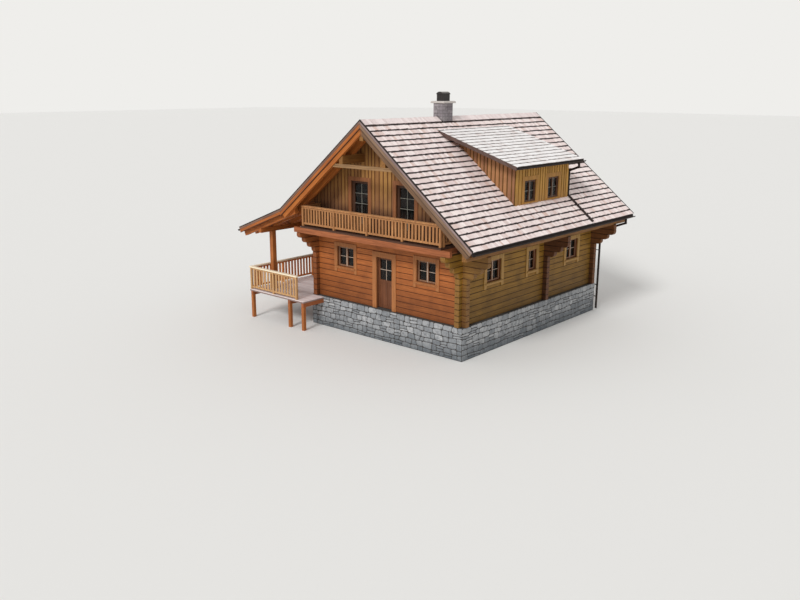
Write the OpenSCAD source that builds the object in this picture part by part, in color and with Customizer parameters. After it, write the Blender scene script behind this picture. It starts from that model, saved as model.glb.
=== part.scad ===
// Alpine log chalet on a stone plinth: X runs across the gable, Y back along the ridge, Z up.
// The origin is on the ground, under the middle of the front log wall's outer face.

/* [House] */
// Width over the log walls
house_w = 8200; // [7800:100:8800]
// Length over the log walls
house_l = 10200; // [9800:100:11000]
// Height of the floor above the lowest ground
plinth_h = 1350; // [900:50:1800]
// Thickness of the stone plinth wall
plinth_t = 480; // [400:20:560]
// How far the plinth stands proud of the logs
plinth_proud = 140; // [100:10:180]
// Thickness of the ground floor
floor_t = 200; // [150:10:260]
// Depth of the loft floor and its joists, up from the top of the log walls
loft_t = 288; // [240:8:320]
// Thickness of the boarded walls of the loft
board_wall_t = 180; // [150:10:200]
// Distance from the front of the house to the inner cross wall
cross_y = 5830; // [5700:10:6100]
// Width and height of the doorway in the cross wall
inner_door_w = 900; // [800:20:1000]
inner_door_h = 2100; // [2000:20:2200]

/* [Logs] */
// Height of one course of logs
course_h = 246; // [230:2:260]
// Courses up to the loft floor
courses = 12; // [12:1:13]
// Thickness of a squared log
log_t = 220; // [200:10:240]
// Length of the log ends past each corner
log_end = 200; // [160:10:240]
// Depth of the grooves between the logs
groove = 14; // [8:1:20]
// How much further each corbel log under the balcony reaches
balcony_step = 280; // [270:10:310]
// Number of corbel logs under the balcony
balcony_corbels = 4; // [4:1:5]
// How much further each corbel log under the right eave reaches
eave_step = 320; // [280:10:340]
// Number of corbel steps under the right eave
eave_corbels = 3; // [2:1:3]
// Radius of the rounded lower edge at the end of a corbel log
end_round = 150; // [80:10:200]

/* [Roof] */
// Height of the main slope above the log wall's top, at the wall's outer face
plate_h = 1570; // [1550:10:1700]
// Pitch of the main slopes in degrees
roof_pitch = 38.8; // [38:0.2:40]
// Pitch of the kicked slope over the terrace
kick_pitch = 21.3; // [20:0.1:22.5]
// Reach of the right eave past the wall
eave_over = 1430; // [1400:10:1500]
// Where the left slope kicks out, past the wall
kick_over = 750; // [650:10:850]
// Reach of the kicked slope past the kink
kick_run = 2920; // [2800:20:3100]
// Reach of the roof in front of the gable
front_over = 1325; // [1250:25:1400]
// Reach of the roof behind the back gable
back_over = 1020; // [900:20:1100]
// Thickness of the roof boards and their covering
skin_t = 150; // [110:10:160]
// Width of a rafter
rafter_w = 150; // [120:5:160]
// Depth of a rafter
rafter_d = 270; // [200:10:280]
// Number of rafter pairs between the gable walls
rafter_count = 10; // [8:1:11]
// How far the rafter ends stay behind the edge of the roof
tail_back = 40; // [20:10:80]
// Depth of the barge boards
barge_d = 240; // [200:10:280]
// Thickness of the barge boards
barge_t = 45; // [35:5:55]
// Width of the boards along the ridge
ridge_board_w = 330; // [280:10:360]
// Thickness of the boards along the ridge
ridge_board_t = 35; // [25:5:45]
// Width of the purlins
purlin_w = 200; // [180:10:220]
// Height of the ridge purlin
ridge_purlin_d = 240; // [200:10:260]
// Distance of the side purlins from the ridge
side_purlin_x = 1150; // [1000:10:1250]
// Height of the tie beam's underside above the floor
tie_z = 5940; // [5900:10:6000]
// Depth of the tie beam
tie_d = 140; // [120:10:150]

/* [Dormer] */
// Front of the dormer along the ridge
dormer_y0 = 3200; // [3100:20:3300]
// Back of the dormer along the ridge
dormer_y1 = 7350; // [7200:20:7500]
// How far the dormer's front wall stands out past the log wall
dormer_proud = 130; // [120:10:180]
// Pitch of the dormer's roof
dormer_pitch = 17.8; // [17:0.2:19]
// Distance from the ridge where the dormer's roof leaves the main slope
dormer_top_x = 580; // [500:20:640]
// Overhang of the dormer's roof at the front
dormer_over_x = 400; // [320:20:440]
// Overhang of the dormer's roof at the sides
dormer_over_y = 520; // [440:20:540]
// Thickness of the dormer's walls
dormer_wall_t = 120; // [100:10:120]
// Thickness of the dormer's roof
dormer_skin_t = 90; // [70:10:110]
// Width of a dormer window
dormer_window_w = 900; // [840:20:960]
// Height of a dormer window
dormer_window_h = 920; // [860:20:960]
// Height of the dormer's sills above the main slope
dormer_sill = 75; // [65:5:120]
// Middle of the front dormer window along the ridge
dormer_window_y0 = 4295; // [4200:5:4400]
// Middle of the back dormer window along the ridge
dormer_window_y1 = 6095; // [6000:5:6200]

/* [Chimney] */
// Width across the ridge
chimney_w = 500; // [440:20:560]
// Length along the ridge
chimney_l = 690; // [640:10:740]
// Middle of the chimney across the ridge
chimney_x = 45; // [20:5:60]
// Middle of the chimney along the ridge
chimney_y = 3755; // [3740:5:3800]
// Height of the stack above the ridge
chimney_top = 590; // [500:10:700]
// Thickness of the cap
cap_t = 90; // [70:10:110]
// Overhang of the cap across the ridge
cap_over_x = 120; // [80:10:140]
// Overhang of the cap along the ridge
cap_over_y = 60; // [40:10:80]
// Height of the flashing up the stack
flashing_h = 90; // [60:10:120]
// Width of the cowl
cowl_w = 330; // [300:10:360]
// Length of the cowl
cowl_l = 480; // [420:10:520]
// Height of the cowl's box
cowl_h = 280; // [240:10:320]
// Rise of the cowl's arched lid
cowl_rise = 110; // [80:10:140]

/* [Balcony] */
// Depth of the balcony from the wall to the middle of its rail
balcony_d = 1000; // [950:10:1020]
// Distance of the end posts from the side of the house
balcony_inset = 320; // [300:10:420]
// Height of the rail above the floor
rail_h = 910; // [880:5:920]
// Thickness of the balcony boards
balcony_board = 60; // [40:5:80]
// Width of the beam under the boards
balcony_beam_w = 140; // [120:10:160]
// Width of a balcony joist
joist_w = 120; // [90:10:140]
// Number of balcony joists
joist_count = 7; // [6:1:8]
// Bays in the front rail
balcony_bays = 4; // [3:1:5]
// Distance from one baluster to the next
baluster_pitch = 172; // [160:4:190]
// Width of a baluster
baluster_w = 88; // [80:2:96]

/* [Terrace] */
// Left edge, measured from the side of the house
terrace_w = 3050; // [2900:50:3200]
// Right end of the deck in front of the house, measured in from its left side
terrace_wrap = 600; // [400:50:800]
// Reach in front of the wall
terrace_front = 1385; // [1300:5:1450]
// Right end of the front rail, measured in from the left side of the house
terrace_rail_end = 100; // [0:20:300]
// Step down from the floor to the deck
deck_drop = 45; // [30:5:60]
// Height of the terrace rail
terrace_rail_h = 1100; // [1000:20:1150]
// Thickness of the deck
deck_t = 60; // [40:5:80]
// Depth of the beams under the deck
deck_beam_d = 180; // [140:10:220]
// Width of the beams and posts under the deck
deck_beam_w = 140; // [120:10:160]
// Posts under each long beam
deck_post_count = 4; // [3:1:5]
// Distance from one pale to the next
pale_pitch = 190; // [180:5:210]
// Width of a pale
pale_w = 95; // [85:5:110]
// Bays in the front rail
front_bays = 2; // [1:1:3]
// Bays in the side rail
side_bays = 6; // [5:1:7]
// Width of a porch post
porch_post_w = 210; // [190:10:230]
// Distance of the porch posts from the side of the house
porch_post_x = 2300; // [2200:50:2400]
// Place of the front porch post
porch_post_y = -540; // [-700:20:-400]
// Number of porch posts
porch_post_count = 4; // [3:1:5]
// Height of the beam on the porch posts
porch_beam_d = 180; // [160:10:220]

/* [Windows] */
// Width of the usual window opening
window_w = 1040; // [960:20:1100]
// Height of the usual window opening
window_h = 924; // [860:4:960]
// Width of the small window
small_window_w = 680; // [620:20:740]
// Height of the sills above the floor
sill_z = 1476; // [1420:6:1500]
// Height of the back gable's sills above the loft floor
loft_sill_z = 900; // [850:10:1000]
// Middle of the front window left of the door
lower_left_x = 2230; // [2100:10:2350]
// Middle of the front window right of the door
lower_right_x = 2290; // [2200:10:2400]
// Middle of the left balcony door
upper_left_x = 1340; // [1250:10:1450]
// Middle of the right balcony door
upper_right_x = 1180; // [1100:10:1300]
// Middles of the side windows
side_front_y = 2080; // [1950:10:2200]
side_middle_y = 4915; // [4850:10:5000]
side_back_y = 8225; // [8100:5:8350]
// Width of the trim boards
trim_w = 150; // [120:10:170]
// Thickness of the trim boards
trim_t = 30; // [20:5:40]
// How far the side trim boards run down past the sill
trim_tail = 226; // [160:6:240]
// Depth of the trim board under the sill
trim_low = 96; // [80:4:120]
// Width of the window frames
frame_w = 45; // [40:5:60]
// Width of the stiles of a sash
stile_w = 50; // [40:5:60]
// Depth of the frames behind the wall's face
recess = 90; // [70:10:100]

/* [Door] */
// Middle of the front door
door_x = 30; // [0:10:60]
// Width of the door opening
door_w = 1020; // [980:10:1080]
// Height of the door opening
door_h = 2280; // [2240:10:2320]
// Thickness of the door frame
jamb_t = 50; // [40:5:60]
// Distance of the leaf behind the wall's face
leaf_y = 126; // [110:2:140]
// Thickness of the door leaf
leaf_t = 56; // [50:2:60]
// Clearance around the leaf
leaf_gap = 8; // [8:1:10]
// Height of the glass in the door
light_h = 870; // [800:10:900]
// Width of the balcony door openings
upper_door_w = 1010; // [960:10:1060]
// Height of the balcony door openings
upper_door_h = 2060; // [2000:10:2080]
// Width of the stiles of a balcony door
upper_stile_w = 80; // [70:5:100]
// Depth of the bottom rail of a balcony door
upper_rail_d = 200; // [160:10:260]

/* [Gutters] */
// Radius of the half-round gutters
gutter_r = 65; // [55:5:75]
// Thickness of their sheet, drawn thicker than it is
gutter_t = 8; // [6:1:12]
// Radius of the downpipes
pipe_r = 50; // [40:5:50]

/* [Hidden] */
$fn = 48;

// Small clearance between slanted faces that bear on each other
seat = 0.5;
// Room that a cut takes past a face, so that it goes right through
past = 1;
// Gap between the pieces of a pair where they meet at the ridge
ridge_gap = 4;
// Straight stretches in a corbel log's rounded end
end_steps = 5;

half_w = house_w / 2;
wall_top = plinth_h + courses * course_h;
loft_z = wall_top + loft_t;
main_slope = tan(roof_pitch);
kick_slope = tan(kick_pitch);
ridge_z = wall_top + plate_h + half_w * main_slope;
eave_x = half_w + eave_over;
kick_x = half_w + kick_over;
left_x = kick_x + kick_run;
kick_z = ridge_z - kick_x * main_slope;
roof_y0 = -front_over;
roof_y1 = house_l + back_over;
deck_z = plinth_h - deck_drop;
high = 2 * ridge_z;

lower_x = [-lower_left_x, lower_right_x];
upper_x = [-upper_left_x, upper_right_x];
side_y = [side_front_y, side_middle_y, side_back_y];
side_w = [window_w, small_window_w, window_w];
dormer_window_y = [dormer_window_y0, dormer_window_y1];
corner_x = [-half_w, half_w - log_t];
wall_y = [0, cross_y, house_l - log_t];

// Height of the main slope's top face at a distance from the ridge
function main_z(x) = ridge_z - abs(x) * main_slope;
// Height of the left slope's top face, with its kick
function left_z(x) = abs(x) < kick_x ? main_z(x) : kick_z - (abs(x) - kick_x) * kick_slope;
// Height of what carries the rafters, and of what carries the porch rafters
function main_under(x) = main_z(x) - (skin_t + rafter_d + seat) / cos(roof_pitch);
function kick_under(x) = left_z(x) - (skin_t + rafter_d + seat) / cos(kick_pitch);

// A profile in X and Z, carried along Y
module along_y(y0, y1) {
    translate([0, y1, 0])
        rotate([90, 0, 0])
            linear_extrude(y1 - y0)
                children();
}

// A profile in Y and Z, carried along X
module along_x(x0, x1) {
    translate([x0, 0, 0])
        rotate([90, 0, 90])
            linear_extrude(x1 - x0)
                children();
}

module box(low, high) {
    translate(low)
        cube(high - low);
}

// A ring of boards in X and Z, from y0 to y1, with sides, top and bottom of their own widths
module ring(x0, x1, z0, z1, side, top, bottom, y0, y1) {
    difference() {
        box([x0, y0, z0], [x1, y1, z1]);
        box([x0 + side, y0 - past, z0 + bottom], [x1 - side, y1 + past, z1 - top]);
    }
}

// Outline of a bar that follows a main slope from the ridge to x1, from depth a to depth b under
// the slope's top face, cut square at its foot
function slope_bar(side, x1, a, b, x0 = ridge_gap) = [
    [side * x0, main_z(x0) - a / cos(roof_pitch)],
    [side * (x1 - a * sin(roof_pitch)), main_z(x1) - a * cos(roof_pitch)],
    [side * (x1 - b * sin(roof_pitch)), main_z(x1) - b * cos(roof_pitch)],
    [side * x0, main_z(x0) - b / cos(roof_pitch)]
];

// Logs

// Section of a stack of squared logs with a groove at each joint
module log_section(first = 0, last = courses - 1) {
    outer = [for (i = [first : last]) each [
        [groove, i * course_h],
        [0, i * course_h + groove],
        [0, (i + 1) * course_h - groove]
    ]];
    inner = [for (i = [last : -1 : first]) each [
        [log_t, (i + 1) * course_h - groove],
        [log_t, i * course_h + groove],
        [log_t - groove, i * course_h]
    ]];
    top = [[groove, (last + 1) * course_h], [log_t - groove, (last + 1) * course_h]];
    polygon(concat(outer, top, inner));
}

// How far a log of a course reaches past the corner
function reach(kind, i) =
    kind == "balcony" ? max(log_end, (i + 1 - courses + balcony_corbels) * balcony_step)
    : kind == "eave" ? log_end + max(0, min(eave_corbels, i + 2 - courses + eave_corbels)) * eave_step
    : log_end;

// The end of one log seen from the side: a corbel log is rounded at its lower edge
function end_points(kind, i) =
    let (r = reach(kind, i), low = i * course_h, top = low + course_h)
    concat(
        i > 0 && r > reach(kind, i - 1)
            ? [for (k = [0 : end_steps]) [
                r - end_round + end_round * sin(90 * k / end_steps),
                low + end_round - end_round * cos(90 * k / end_steps)
            ]]
            : [[r - groove, low], [r, low + groove]],
        [[r, top - groove]],
        i == courses - 1 || reach(kind, i + 1) != r ? [[r - groove, top]] : []
    );

// The whole end of a wall, from the bottom up
function wall_end(kind) =
    kind == "flush" ? [[0, 0], [0, courses * course_h]]
    : [for (i = [0 : courses - 1]) each end_points(kind, i)];

function reversed(list) = [for (k = [len(list) - 1 : -1 : 0]) list[k]];

// A log wall of length l along X, with its outer face at y = 0 and its body behind it
module log_wall(l, low_kind, high_kind) {
    room = log_end + balcony_corbels * balcony_step + eave_corbels * eave_step;
    outline = concat(
        [for (p = wall_end(high_kind)) [l + p[0], p[1]]],
        reversed([for (p = wall_end(low_kind)) [-p[0], p[1]]])
    );
    translate([0, 0, plinth_h]) intersection() {
        along_x(-room, l + room) log_section();
        along_y(-past, log_t + past) polygon(outline);
    }
}

// Where two walls cross, each gives up every other course to the other
module crossings(odd) {
    for (x = corner_x, y = wall_y, i = [odd : 2 : courses - 1])
        translate([x, y, plinth_h + i * course_h])
            cube([log_t, log_t, course_h]);
}

module front_holes(y0) {
    for (x = lower_x)
        box([x - window_w / 2, y0 - past, plinth_h + sill_z],
            [x + window_w / 2, y0 + log_t + past, plinth_h + sill_z + window_h]);
}

module side_holes() {
    for (k = [0 : 2])
        box([-house_w, side_y[k] - side_w[k] / 2, plinth_h + sill_z],
            [house_w, side_y[k] + side_w[k] / 2, plinth_h + sill_z + window_h]);
}

door_x0 = door_x - door_w / 2;
door_x1 = door_x + door_w / 2;

module log_wall_front_left() {
    color("peru") difference() {
        translate([-half_w, 0, 0]) log_wall(door_x0 + half_w, "plain", "flush");
        crossings(1);
        front_holes(0);
    }
}

module log_wall_front_right() {
    color("peru") difference() {
        translate([door_x1, 0, 0]) log_wall(half_w - door_x1, "flush", "eave");
        crossings(1);
        front_holes(0);
    }
}

module log_wall_front_over() {
    color("peru") difference() {
        translate([0, 0, plinth_h]) along_x(door_x0, door_x1) log_section();
        box([-house_w, -past, 0], [house_w, log_t + past, plinth_h + door_h]);
    }
}

module log_wall_right() {
    color("peru") difference() {
        translate([half_w, 0, 0]) rotate(90) log_wall(house_l, "balcony", "plain");
        crossings(0);
        side_holes();
    }
}

module log_wall_left() {
    color("peru") difference() {
        translate([-half_w, house_l, 0]) rotate(-90) log_wall(house_l, "plain", "balcony");
        crossings(0);
        side_holes();
    }
}

module log_wall_back() {
    color("peru") difference() {
        translate([half_w, house_l, 0]) rotate(180) log_wall(house_w, "eave", "plain");
        crossings(1);
        front_holes(house_l - log_t);
    }
}

module log_wall_cross() {
    color("peru") difference() {
        translate([-half_w, cross_y, 0]) log_wall(house_w, "plain", "eave");
        crossings(1);
        box([-inner_door_w / 2, cross_y - past, 0],
            [inner_door_w / 2, cross_y + log_t + past, plinth_h + inner_door_h]);
    }
}

// Plinth and floors

plinth_x = half_w + plinth_proud;

module chimney_hole(grow = 0) {
    box([chimney_x - chimney_w / 2 - grow, chimney_y - chimney_l / 2 - grow, -past],
        [chimney_x + chimney_w / 2 + grow, chimney_y + chimney_l / 2 + grow, high]);
}

module stone_plinth() {
    color("gray") difference() {
        box([-plinth_x, -plinth_proud, 0], [plinth_x, house_l + plinth_proud, plinth_h]);
        box([plinth_t - plinth_x, plinth_t - plinth_proud, -past],
            [plinth_x - plinth_t, house_l + plinth_proud - plinth_t, plinth_h + past]);
    }
}

module ground_floor() {
    x = plinth_x - plinth_t;
    y = plinth_t - plinth_proud;
    color("tan") difference() {
        box([-x, y, plinth_h - floor_t], [x, house_l - y, plinth_h]);
        chimney_hole();
    }
}

module loft_floor() {
    x = half_w - board_wall_t;
    color("tan") difference() {
        box([-x, board_wall_t, wall_top], [x, house_l - board_wall_t, loft_z]);
        chimney_hole();
    }
}

// Roof timbers

// Places of the rafters along the ridge: at each verge, halfway out, and between the gable walls
inner_y0 = board_wall_t + rafter_w;
inner_y1 = house_l - board_wall_t - 3 * rafter_w;
front_y = concat(
    [roof_y0, -(front_over + rafter_w) / 2],
    [for (i = [0 : rafter_count - 1]) inner_y0 + i * (inner_y1 - inner_y0) / (rafter_count - 1)],
    [house_l + (back_over - rafter_w) / 2]
);
rafter_y = concat(front_y, [roof_y1 - rafter_w]);
// A porch rafter lies behind each of them, and in front of the last
porch_y = concat([for (y = front_y) y + rafter_w], [roof_y1 - 2 * rafter_w]);

// The dormer's shaft leaves out the rafters between its cheeks
shaft_x0 = dormer_top_x + 2 * seat
    + (dormer_skin_t / cos(dormer_pitch) + seat) / (main_slope - tan(dormer_pitch));

module rafters() {
    top = skin_t + seat;
    bottom = skin_t + rafter_d;
    color("chocolate") difference() {
        for (y = rafter_y) along_y(y, y + rafter_w) {
            polygon(slope_bar(1, eave_x - tail_back, top, bottom));
            polygon(slope_bar(-1, kick_x + tail_back, top, bottom));
        }
        box([shaft_x0 + ridge_board_t, dormer_y0, 0], [half_w - board_wall_t, dormer_y1, high]);
        chimney_hole();
    }
}

module porch_rafters() {
    top = skin_t + seat;
    bottom = skin_t + rafter_d;
    x1 = left_x - tail_back;
    head_z = kick_z + (kick_x - half_w) * kick_slope;
    color("chocolate") for (y = porch_y) along_y(y, y + rafter_w) polygon([
        [-kick_x, kick_z - top / cos(kick_pitch)],
        [top * sin(kick_pitch) - x1, left_z(x1) - top * cos(kick_pitch)],
        [bottom * sin(kick_pitch) - x1, left_z(x1) - bottom * cos(kick_pitch)],
        [-half_w, head_z - bottom / cos(kick_pitch)],
        [-half_w, head_z - top / cos(roof_pitch)],
        [-kick_x, kick_z - top / cos(roof_pitch)]
    ]);
}

tie_top = plinth_h + tie_z + tie_d;
// How far the corbels reach past the purlin that lies on them
corbel_nose = 50;
eave_purlin_x = half_w + log_end + eave_corbels * eave_step - corbel_nose - purlin_w / 2;
porch_x = half_w + porch_post_x;
porch_beam_z = kick_under(porch_x) - porch_beam_d;

// The purlins seen from the front, with some room over their slanted tops
module house_purlins(room = 0) {
    w = purlin_w / 2;
    polygon([
        [-w, main_under(0) - ridge_purlin_d], [w, main_under(0) - ridge_purlin_d],
        [w, main_under(w) + room], [0, main_under(0) + room], [-w, main_under(w) + room]
    ]);
    for (side = [-1, 1]) polygon([
        [side * (side_purlin_x - w), tie_top], [side * (side_purlin_x + w), tie_top],
        [side * (side_purlin_x + w), main_under(side_purlin_x + w) + room],
        [side * (side_purlin_x - w), main_under(side_purlin_x - w) + room]
    ]);
}

module outer_purlins() {
    w = purlin_w / 2;
    polygon([
        [eave_purlin_x - w, wall_top], [eave_purlin_x + w, wall_top],
        [eave_purlin_x + w, main_under(eave_purlin_x + w)],
        [eave_purlin_x - w, main_under(eave_purlin_x - w)]
    ]);
    polygon([
        [-porch_x - w, porch_beam_z], [-porch_x + w, porch_beam_z],
        [-porch_x + w, kick_under(porch_x - w)], [-porch_x - w, kick_under(porch_x + w)]
    ]);
}

module purlins() {
    color("chocolate") difference() {
        along_y(roof_y0 + barge_t, roof_y1 - barge_t) {
            house_purlins();
            outer_purlins();
        }
        chimney_hole();
    }
}

module tie_beams() {
    z = plinth_h + tie_z;
    x = (main_under(0) - z) / main_slope;
    x_top = (main_under(0) - tie_top) / main_slope;
    color("sienna") for (y = [roof_y0 + barge_t, roof_y1 - barge_t - rafter_w]) along_y(y, y + rafter_w)
        polygon([[-x, z], [x, z], [x_top, tie_top], [-x_top, tie_top]]);
}

module barge_boards() {
    joint = kick_x + ridge_gap;
    drop = barge_d / cos(roof_pitch);
    color("tan") {
        for (y = [roof_y0 - barge_t, roof_y1]) along_y(y, y + barge_t) {
            polygon(slope_bar(1, eave_x, 0, barge_d));
            polygon([
                [-ridge_gap, main_z(ridge_gap)], [-kick_x, kick_z],
                [-kick_x, kick_z - drop], [-ridge_gap, main_z(ridge_gap) - drop]
            ]);
            polygon([
                [-joint, left_z(joint)], [-left_x, left_z(left_x)],
                [barge_d * sin(kick_pitch) - left_x, left_z(left_x) - barge_d * cos(kick_pitch)],
                [-joint, left_z(joint) - barge_d / cos(kick_pitch)]
            ]);
        }
        for (y = [dormer_y0 - dormer_over_y - barge_t, dormer_y1 + dormer_over_y])
            along_y(y, y + barge_t) dormer_profile(dormer_skin_t + barge_t);
    }
}

// Boarded walls of the loft

module gable_outline() {
    z = main_z(half_w) - (skin_t + seat) / cos(roof_pitch);
    top = ridge_z - (skin_t + seat) / cos(roof_pitch);
    polygon([[-half_w, wall_top], [half_w, wall_top], [half_w, z], [0, top], [-half_w, z]]);
}

module gable_front() {
    color("sienna") difference() {
        along_y(0, board_wall_t) gable_outline();
        along_y(-past, board_wall_t + past) house_purlins(seat);
        for (x = upper_x)
            box([x - upper_door_w / 2, -past, loft_z],
                [x + upper_door_w / 2, board_wall_t + past, loft_z + upper_door_h]);
    }
}

module gable_back() {
    y0 = house_l - board_wall_t;
    z0 = loft_z + loft_sill_z;
    color("sienna") difference() {
        along_y(y0, house_l) gable_outline();
        along_y(y0 - past, house_l + past) house_purlins(seat);
        for (x = upper_x)
            box([x - window_w / 2, y0 - past, z0], [x + window_w / 2, house_l + past, z0 + window_h]);
    }
}

// The knee walls reach up between the rafters to the roof boards
module knee_walls() {
    x0 = half_w - board_wall_t;
    deep = (skin_t + seat) / cos(roof_pitch);
    color("sienna") difference() {
        for (side = [-1, 1]) along_y(board_wall_t, house_l - board_wall_t) polygon([
            [side * x0, wall_top], [side * half_w, wall_top],
            [side * half_w, main_z(half_w) - deep], [side * x0, main_z(x0) - deep]
        ]);
        for (side = [-1, 1], y = rafter_y) along_y(y - seat, y + rafter_w + seat) polygon([
            [side * (x0 - past), main_under(x0 - past)],
            [side * (half_w + past), main_under(half_w + past)],
            [side * (half_w + past), high], [side * (x0 - past), high]
        ]);
    }
}

// Roof slopes

module roof_right() {
    deep = skin_t / cos(roof_pitch);
    color("rosybrown") difference() {
        along_y(roof_y0, roof_y1) polygon([
            [0, ridge_z], [eave_x, main_z(eave_x)], [eave_x, main_z(eave_x) - deep], [0, ridge_z - deep]
        ]);
        box([shaft_x0 + ridge_board_t, dormer_y0 + dormer_wall_t, 0],
            [dormer_x - dormer_wall_t, dormer_y1 - dormer_wall_t, high]);
        chimney_hole();
    }
}

module roof_left() {
    deep = skin_t / cos(roof_pitch);
    color("rosybrown") difference() {
        along_y(roof_y0, roof_y1) polygon([
            [0, ridge_z], [-kick_x, kick_z], [-kick_x, kick_z - deep], [0, ridge_z - deep]
        ]);
        chimney_hole();
    }
}

module roof_kick() {
    deep = skin_t / cos(kick_pitch);
    color("rosybrown") along_y(roof_y0, roof_y1) polygon([
        [-kick_x, kick_z], [-left_x, left_z(left_x)],
        [-left_x, left_z(left_x) - deep], [-kick_x, kick_z - deep]
    ]);
}

module ridge_cap() {
    x1 = ridge_board_w * cos(roof_pitch);
    color("dimgray") difference() {
        along_y(roof_y0, roof_y1) for (side = [-1, 1])
            polygon(slope_bar(side, x1, -ridge_board_t - seat, -seat));
        chimney_hole(flashing_t);
    }
}

// Dormer

dormer_x = half_w + dormer_proud;
dormer_slope = tan(dormer_pitch);
dormer_z0 = main_z(dormer_x) + dormer_sill;
function dormer_z(x) = main_z(dormer_top_x) - (x - dormer_top_x) * dormer_slope;
// Where a plane at a depth under the dormer's roof comes down to the main slope
function dormer_meet(deep) = dormer_top_x + (deep + seat) / (main_slope - dormer_slope);
dormer_deep = dormer_skin_t / cos(dormer_pitch);

// The dormer's roof seen from the front, to a depth under its top face
module dormer_profile(t) {
    deep = t / cos(dormer_pitch);
    x0 = dormer_meet(0);
    x1 = dormer_x + dormer_over_x;
    x2 = dormer_meet(deep);
    polygon([[x0, dormer_z(x0)], [x1, dormer_z(x1)], [x1, dormer_z(x1) - deep], [x2, dormer_z(x2) - deep]]);
}

module dormer_wall(x0, x1) {
    polygon([
        [x0, main_z(x0) + seat], [x1, main_z(x1) + seat],
        [x1, dormer_z(x1) - dormer_deep - seat], [x0, dormer_z(x0) - dormer_deep - seat]
    ]);
}

module dormer_front() {
    color("peru") difference() {
        along_y(dormer_y0, dormer_y1) dormer_wall(dormer_x - dormer_wall_t, dormer_x);
        for (y = dormer_window_y)
            box([dormer_x - 2 * dormer_wall_t, y - dormer_window_w / 2, dormer_z0],
                [dormer_x + past, y + dormer_window_w / 2, dormer_z0 + dormer_window_h]);
    }
}

module dormer_cheeks() {
    color("peru") for (y = [dormer_y0, dormer_y1 - dormer_wall_t]) along_y(y, y + dormer_wall_t)
        dormer_wall(shaft_x0 + ridge_board_t, dormer_x - dormer_wall_t);
}

module dormer_roof() {
    color("rosybrown") along_y(dormer_y0 - dormer_over_y, dormer_y1 + dormer_over_y)
        dormer_profile(dormer_skin_t);
}

// Chimney

chimney_z = ridge_z + chimney_top;
flashing_t = 12;
// Size of the slanted edge round the cap's top
cap_cut = 30;

module chimney_stack() {
    color("gray") box([chimney_x - chimney_w / 2, chimney_y - chimney_l / 2, 0],
        [chimney_x + chimney_w / 2, chimney_y + chimney_l / 2, chimney_z]);
}

module chimney_flashing() {
    x0 = chimney_x - chimney_w / 2 - flashing_t;
    x1 = chimney_x + chimney_w / 2 + flashing_t;
    y = chimney_l / 2 + flashing_t;
    color("dimgray") difference() {
        along_y(chimney_y - y, chimney_y + y) polygon([
            [x0, main_z(x0) + seat], [0, ridge_z + seat], [x1, main_z(x1) + seat],
            [x1, main_z(x1) + flashing_h], [0, ridge_z + flashing_h], [x0, main_z(x0) + flashing_h]
        ]);
        chimney_hole();
    }
}

// A slab with its upper edges cut off at 45 degrees
module slab_profile(w, t, cut) {
    polygon([
        [-w / 2, 0], [w / 2, 0], [w / 2, t - cut],
        [w / 2 - cut, t], [cut - w / 2, t], [-w / 2, t - cut]
    ]);
}

module chimney_cap() {
    w = chimney_w + 2 * cap_over_x;
    l = chimney_l + 2 * cap_over_y;
    color("lightgray") translate([chimney_x, chimney_y, chimney_z]) intersection() {
        along_y(-l, l) slab_profile(w, cap_t, cap_cut);
        along_x(-w, w) slab_profile(l, cap_t, cap_cut);
    }
}

cowl_t = 20;
cowl_lip = 25;
module chimney_cowl() {
    lid_w = cowl_w + 2 * cowl_lip;
    lid_r = (pow(lid_w / 2, 2) + pow(cowl_rise, 2)) / (2 * cowl_rise);
    color("dimgray") translate([chimney_x, chimney_y, chimney_z + cap_t]) {
        difference() {
            box([-cowl_w / 2, -cowl_l / 2, 0], [cowl_w / 2, cowl_l / 2, cowl_h]);
            box([cowl_t - cowl_w / 2, cowl_t - cowl_l / 2, -past],
                [cowl_w / 2 - cowl_t, cowl_l / 2 - cowl_t, cowl_h - cowl_t]);
        }
        along_y(-cowl_l / 2 - cowl_lip, cowl_l / 2 + cowl_lip) intersection() {
            translate([0, cowl_h + cowl_rise - lid_r]) circle(lid_r);
            translate([-lid_w / 2, cowl_h]) square([lid_w, cowl_rise]);
        }
    }
}

// Rails

rail_post = 90;
handrail_w = 140;
handrail_t = 60;
rail_t = 44;
rail_d = 80;
rail_foot = 100;
board_t = 30;

// A rail along X on posts at the ends of its bays, standing at z = 0
module rail_panel(x0, x1, bays, h, pitch, w) {
    bay = (x1 - x0) / bays;
    gaps = round(bay / pitch);
    step = bay / gaps;
    top = h - handrail_t;
    for (i = [0 : bays])
        translate([x0 + i * bay, 0, top / 2]) cube([rail_post, rail_post, top], center = true);
    box([x0 - handrail_w / 2, -handrail_w / 2, top], [x1 + handrail_w / 2, handrail_w / 2, h]);
    for (z = [rail_foot, top - rail_d])
        box([x0, -rail_t / 2, z], [x1, rail_t / 2, z + rail_d]);
    for (i = [0 : bays - 1], k = [1 : gaps - 1])
        box([x0 + i * bay + k * step - w / 2, -board_t / 2, rail_foot + rail_d / 2],
            [x0 + i * bay + k * step + w / 2, board_t / 2, top - rail_d / 2]);
}

// Balcony

// Gap between a joist and the log wall's top that it passes over
joist_gap = 28;
balcony_x = half_w - balcony_inset;
balcony_front = balcony_d + rail_post;

module balcony_beam() {
    x = half_w + log_end;
    color("sienna")
        box([-x, -balcony_front, wall_top], [x, balcony_beam_w - balcony_front, loft_z - balcony_board]);
}

module balcony_joists() {
    span = 2 * (balcony_x + rail_post) - joist_w;
    color("sienna") for (i = [0 : joist_count - 1]) {
        x = -span / 2 + i * span / (joist_count - 1);
        box([x - joist_w / 2, balcony_beam_w - balcony_front, wall_top + joist_gap],
            [x + joist_w / 2, 0, loft_z - balcony_board]);
    }
}

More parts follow.
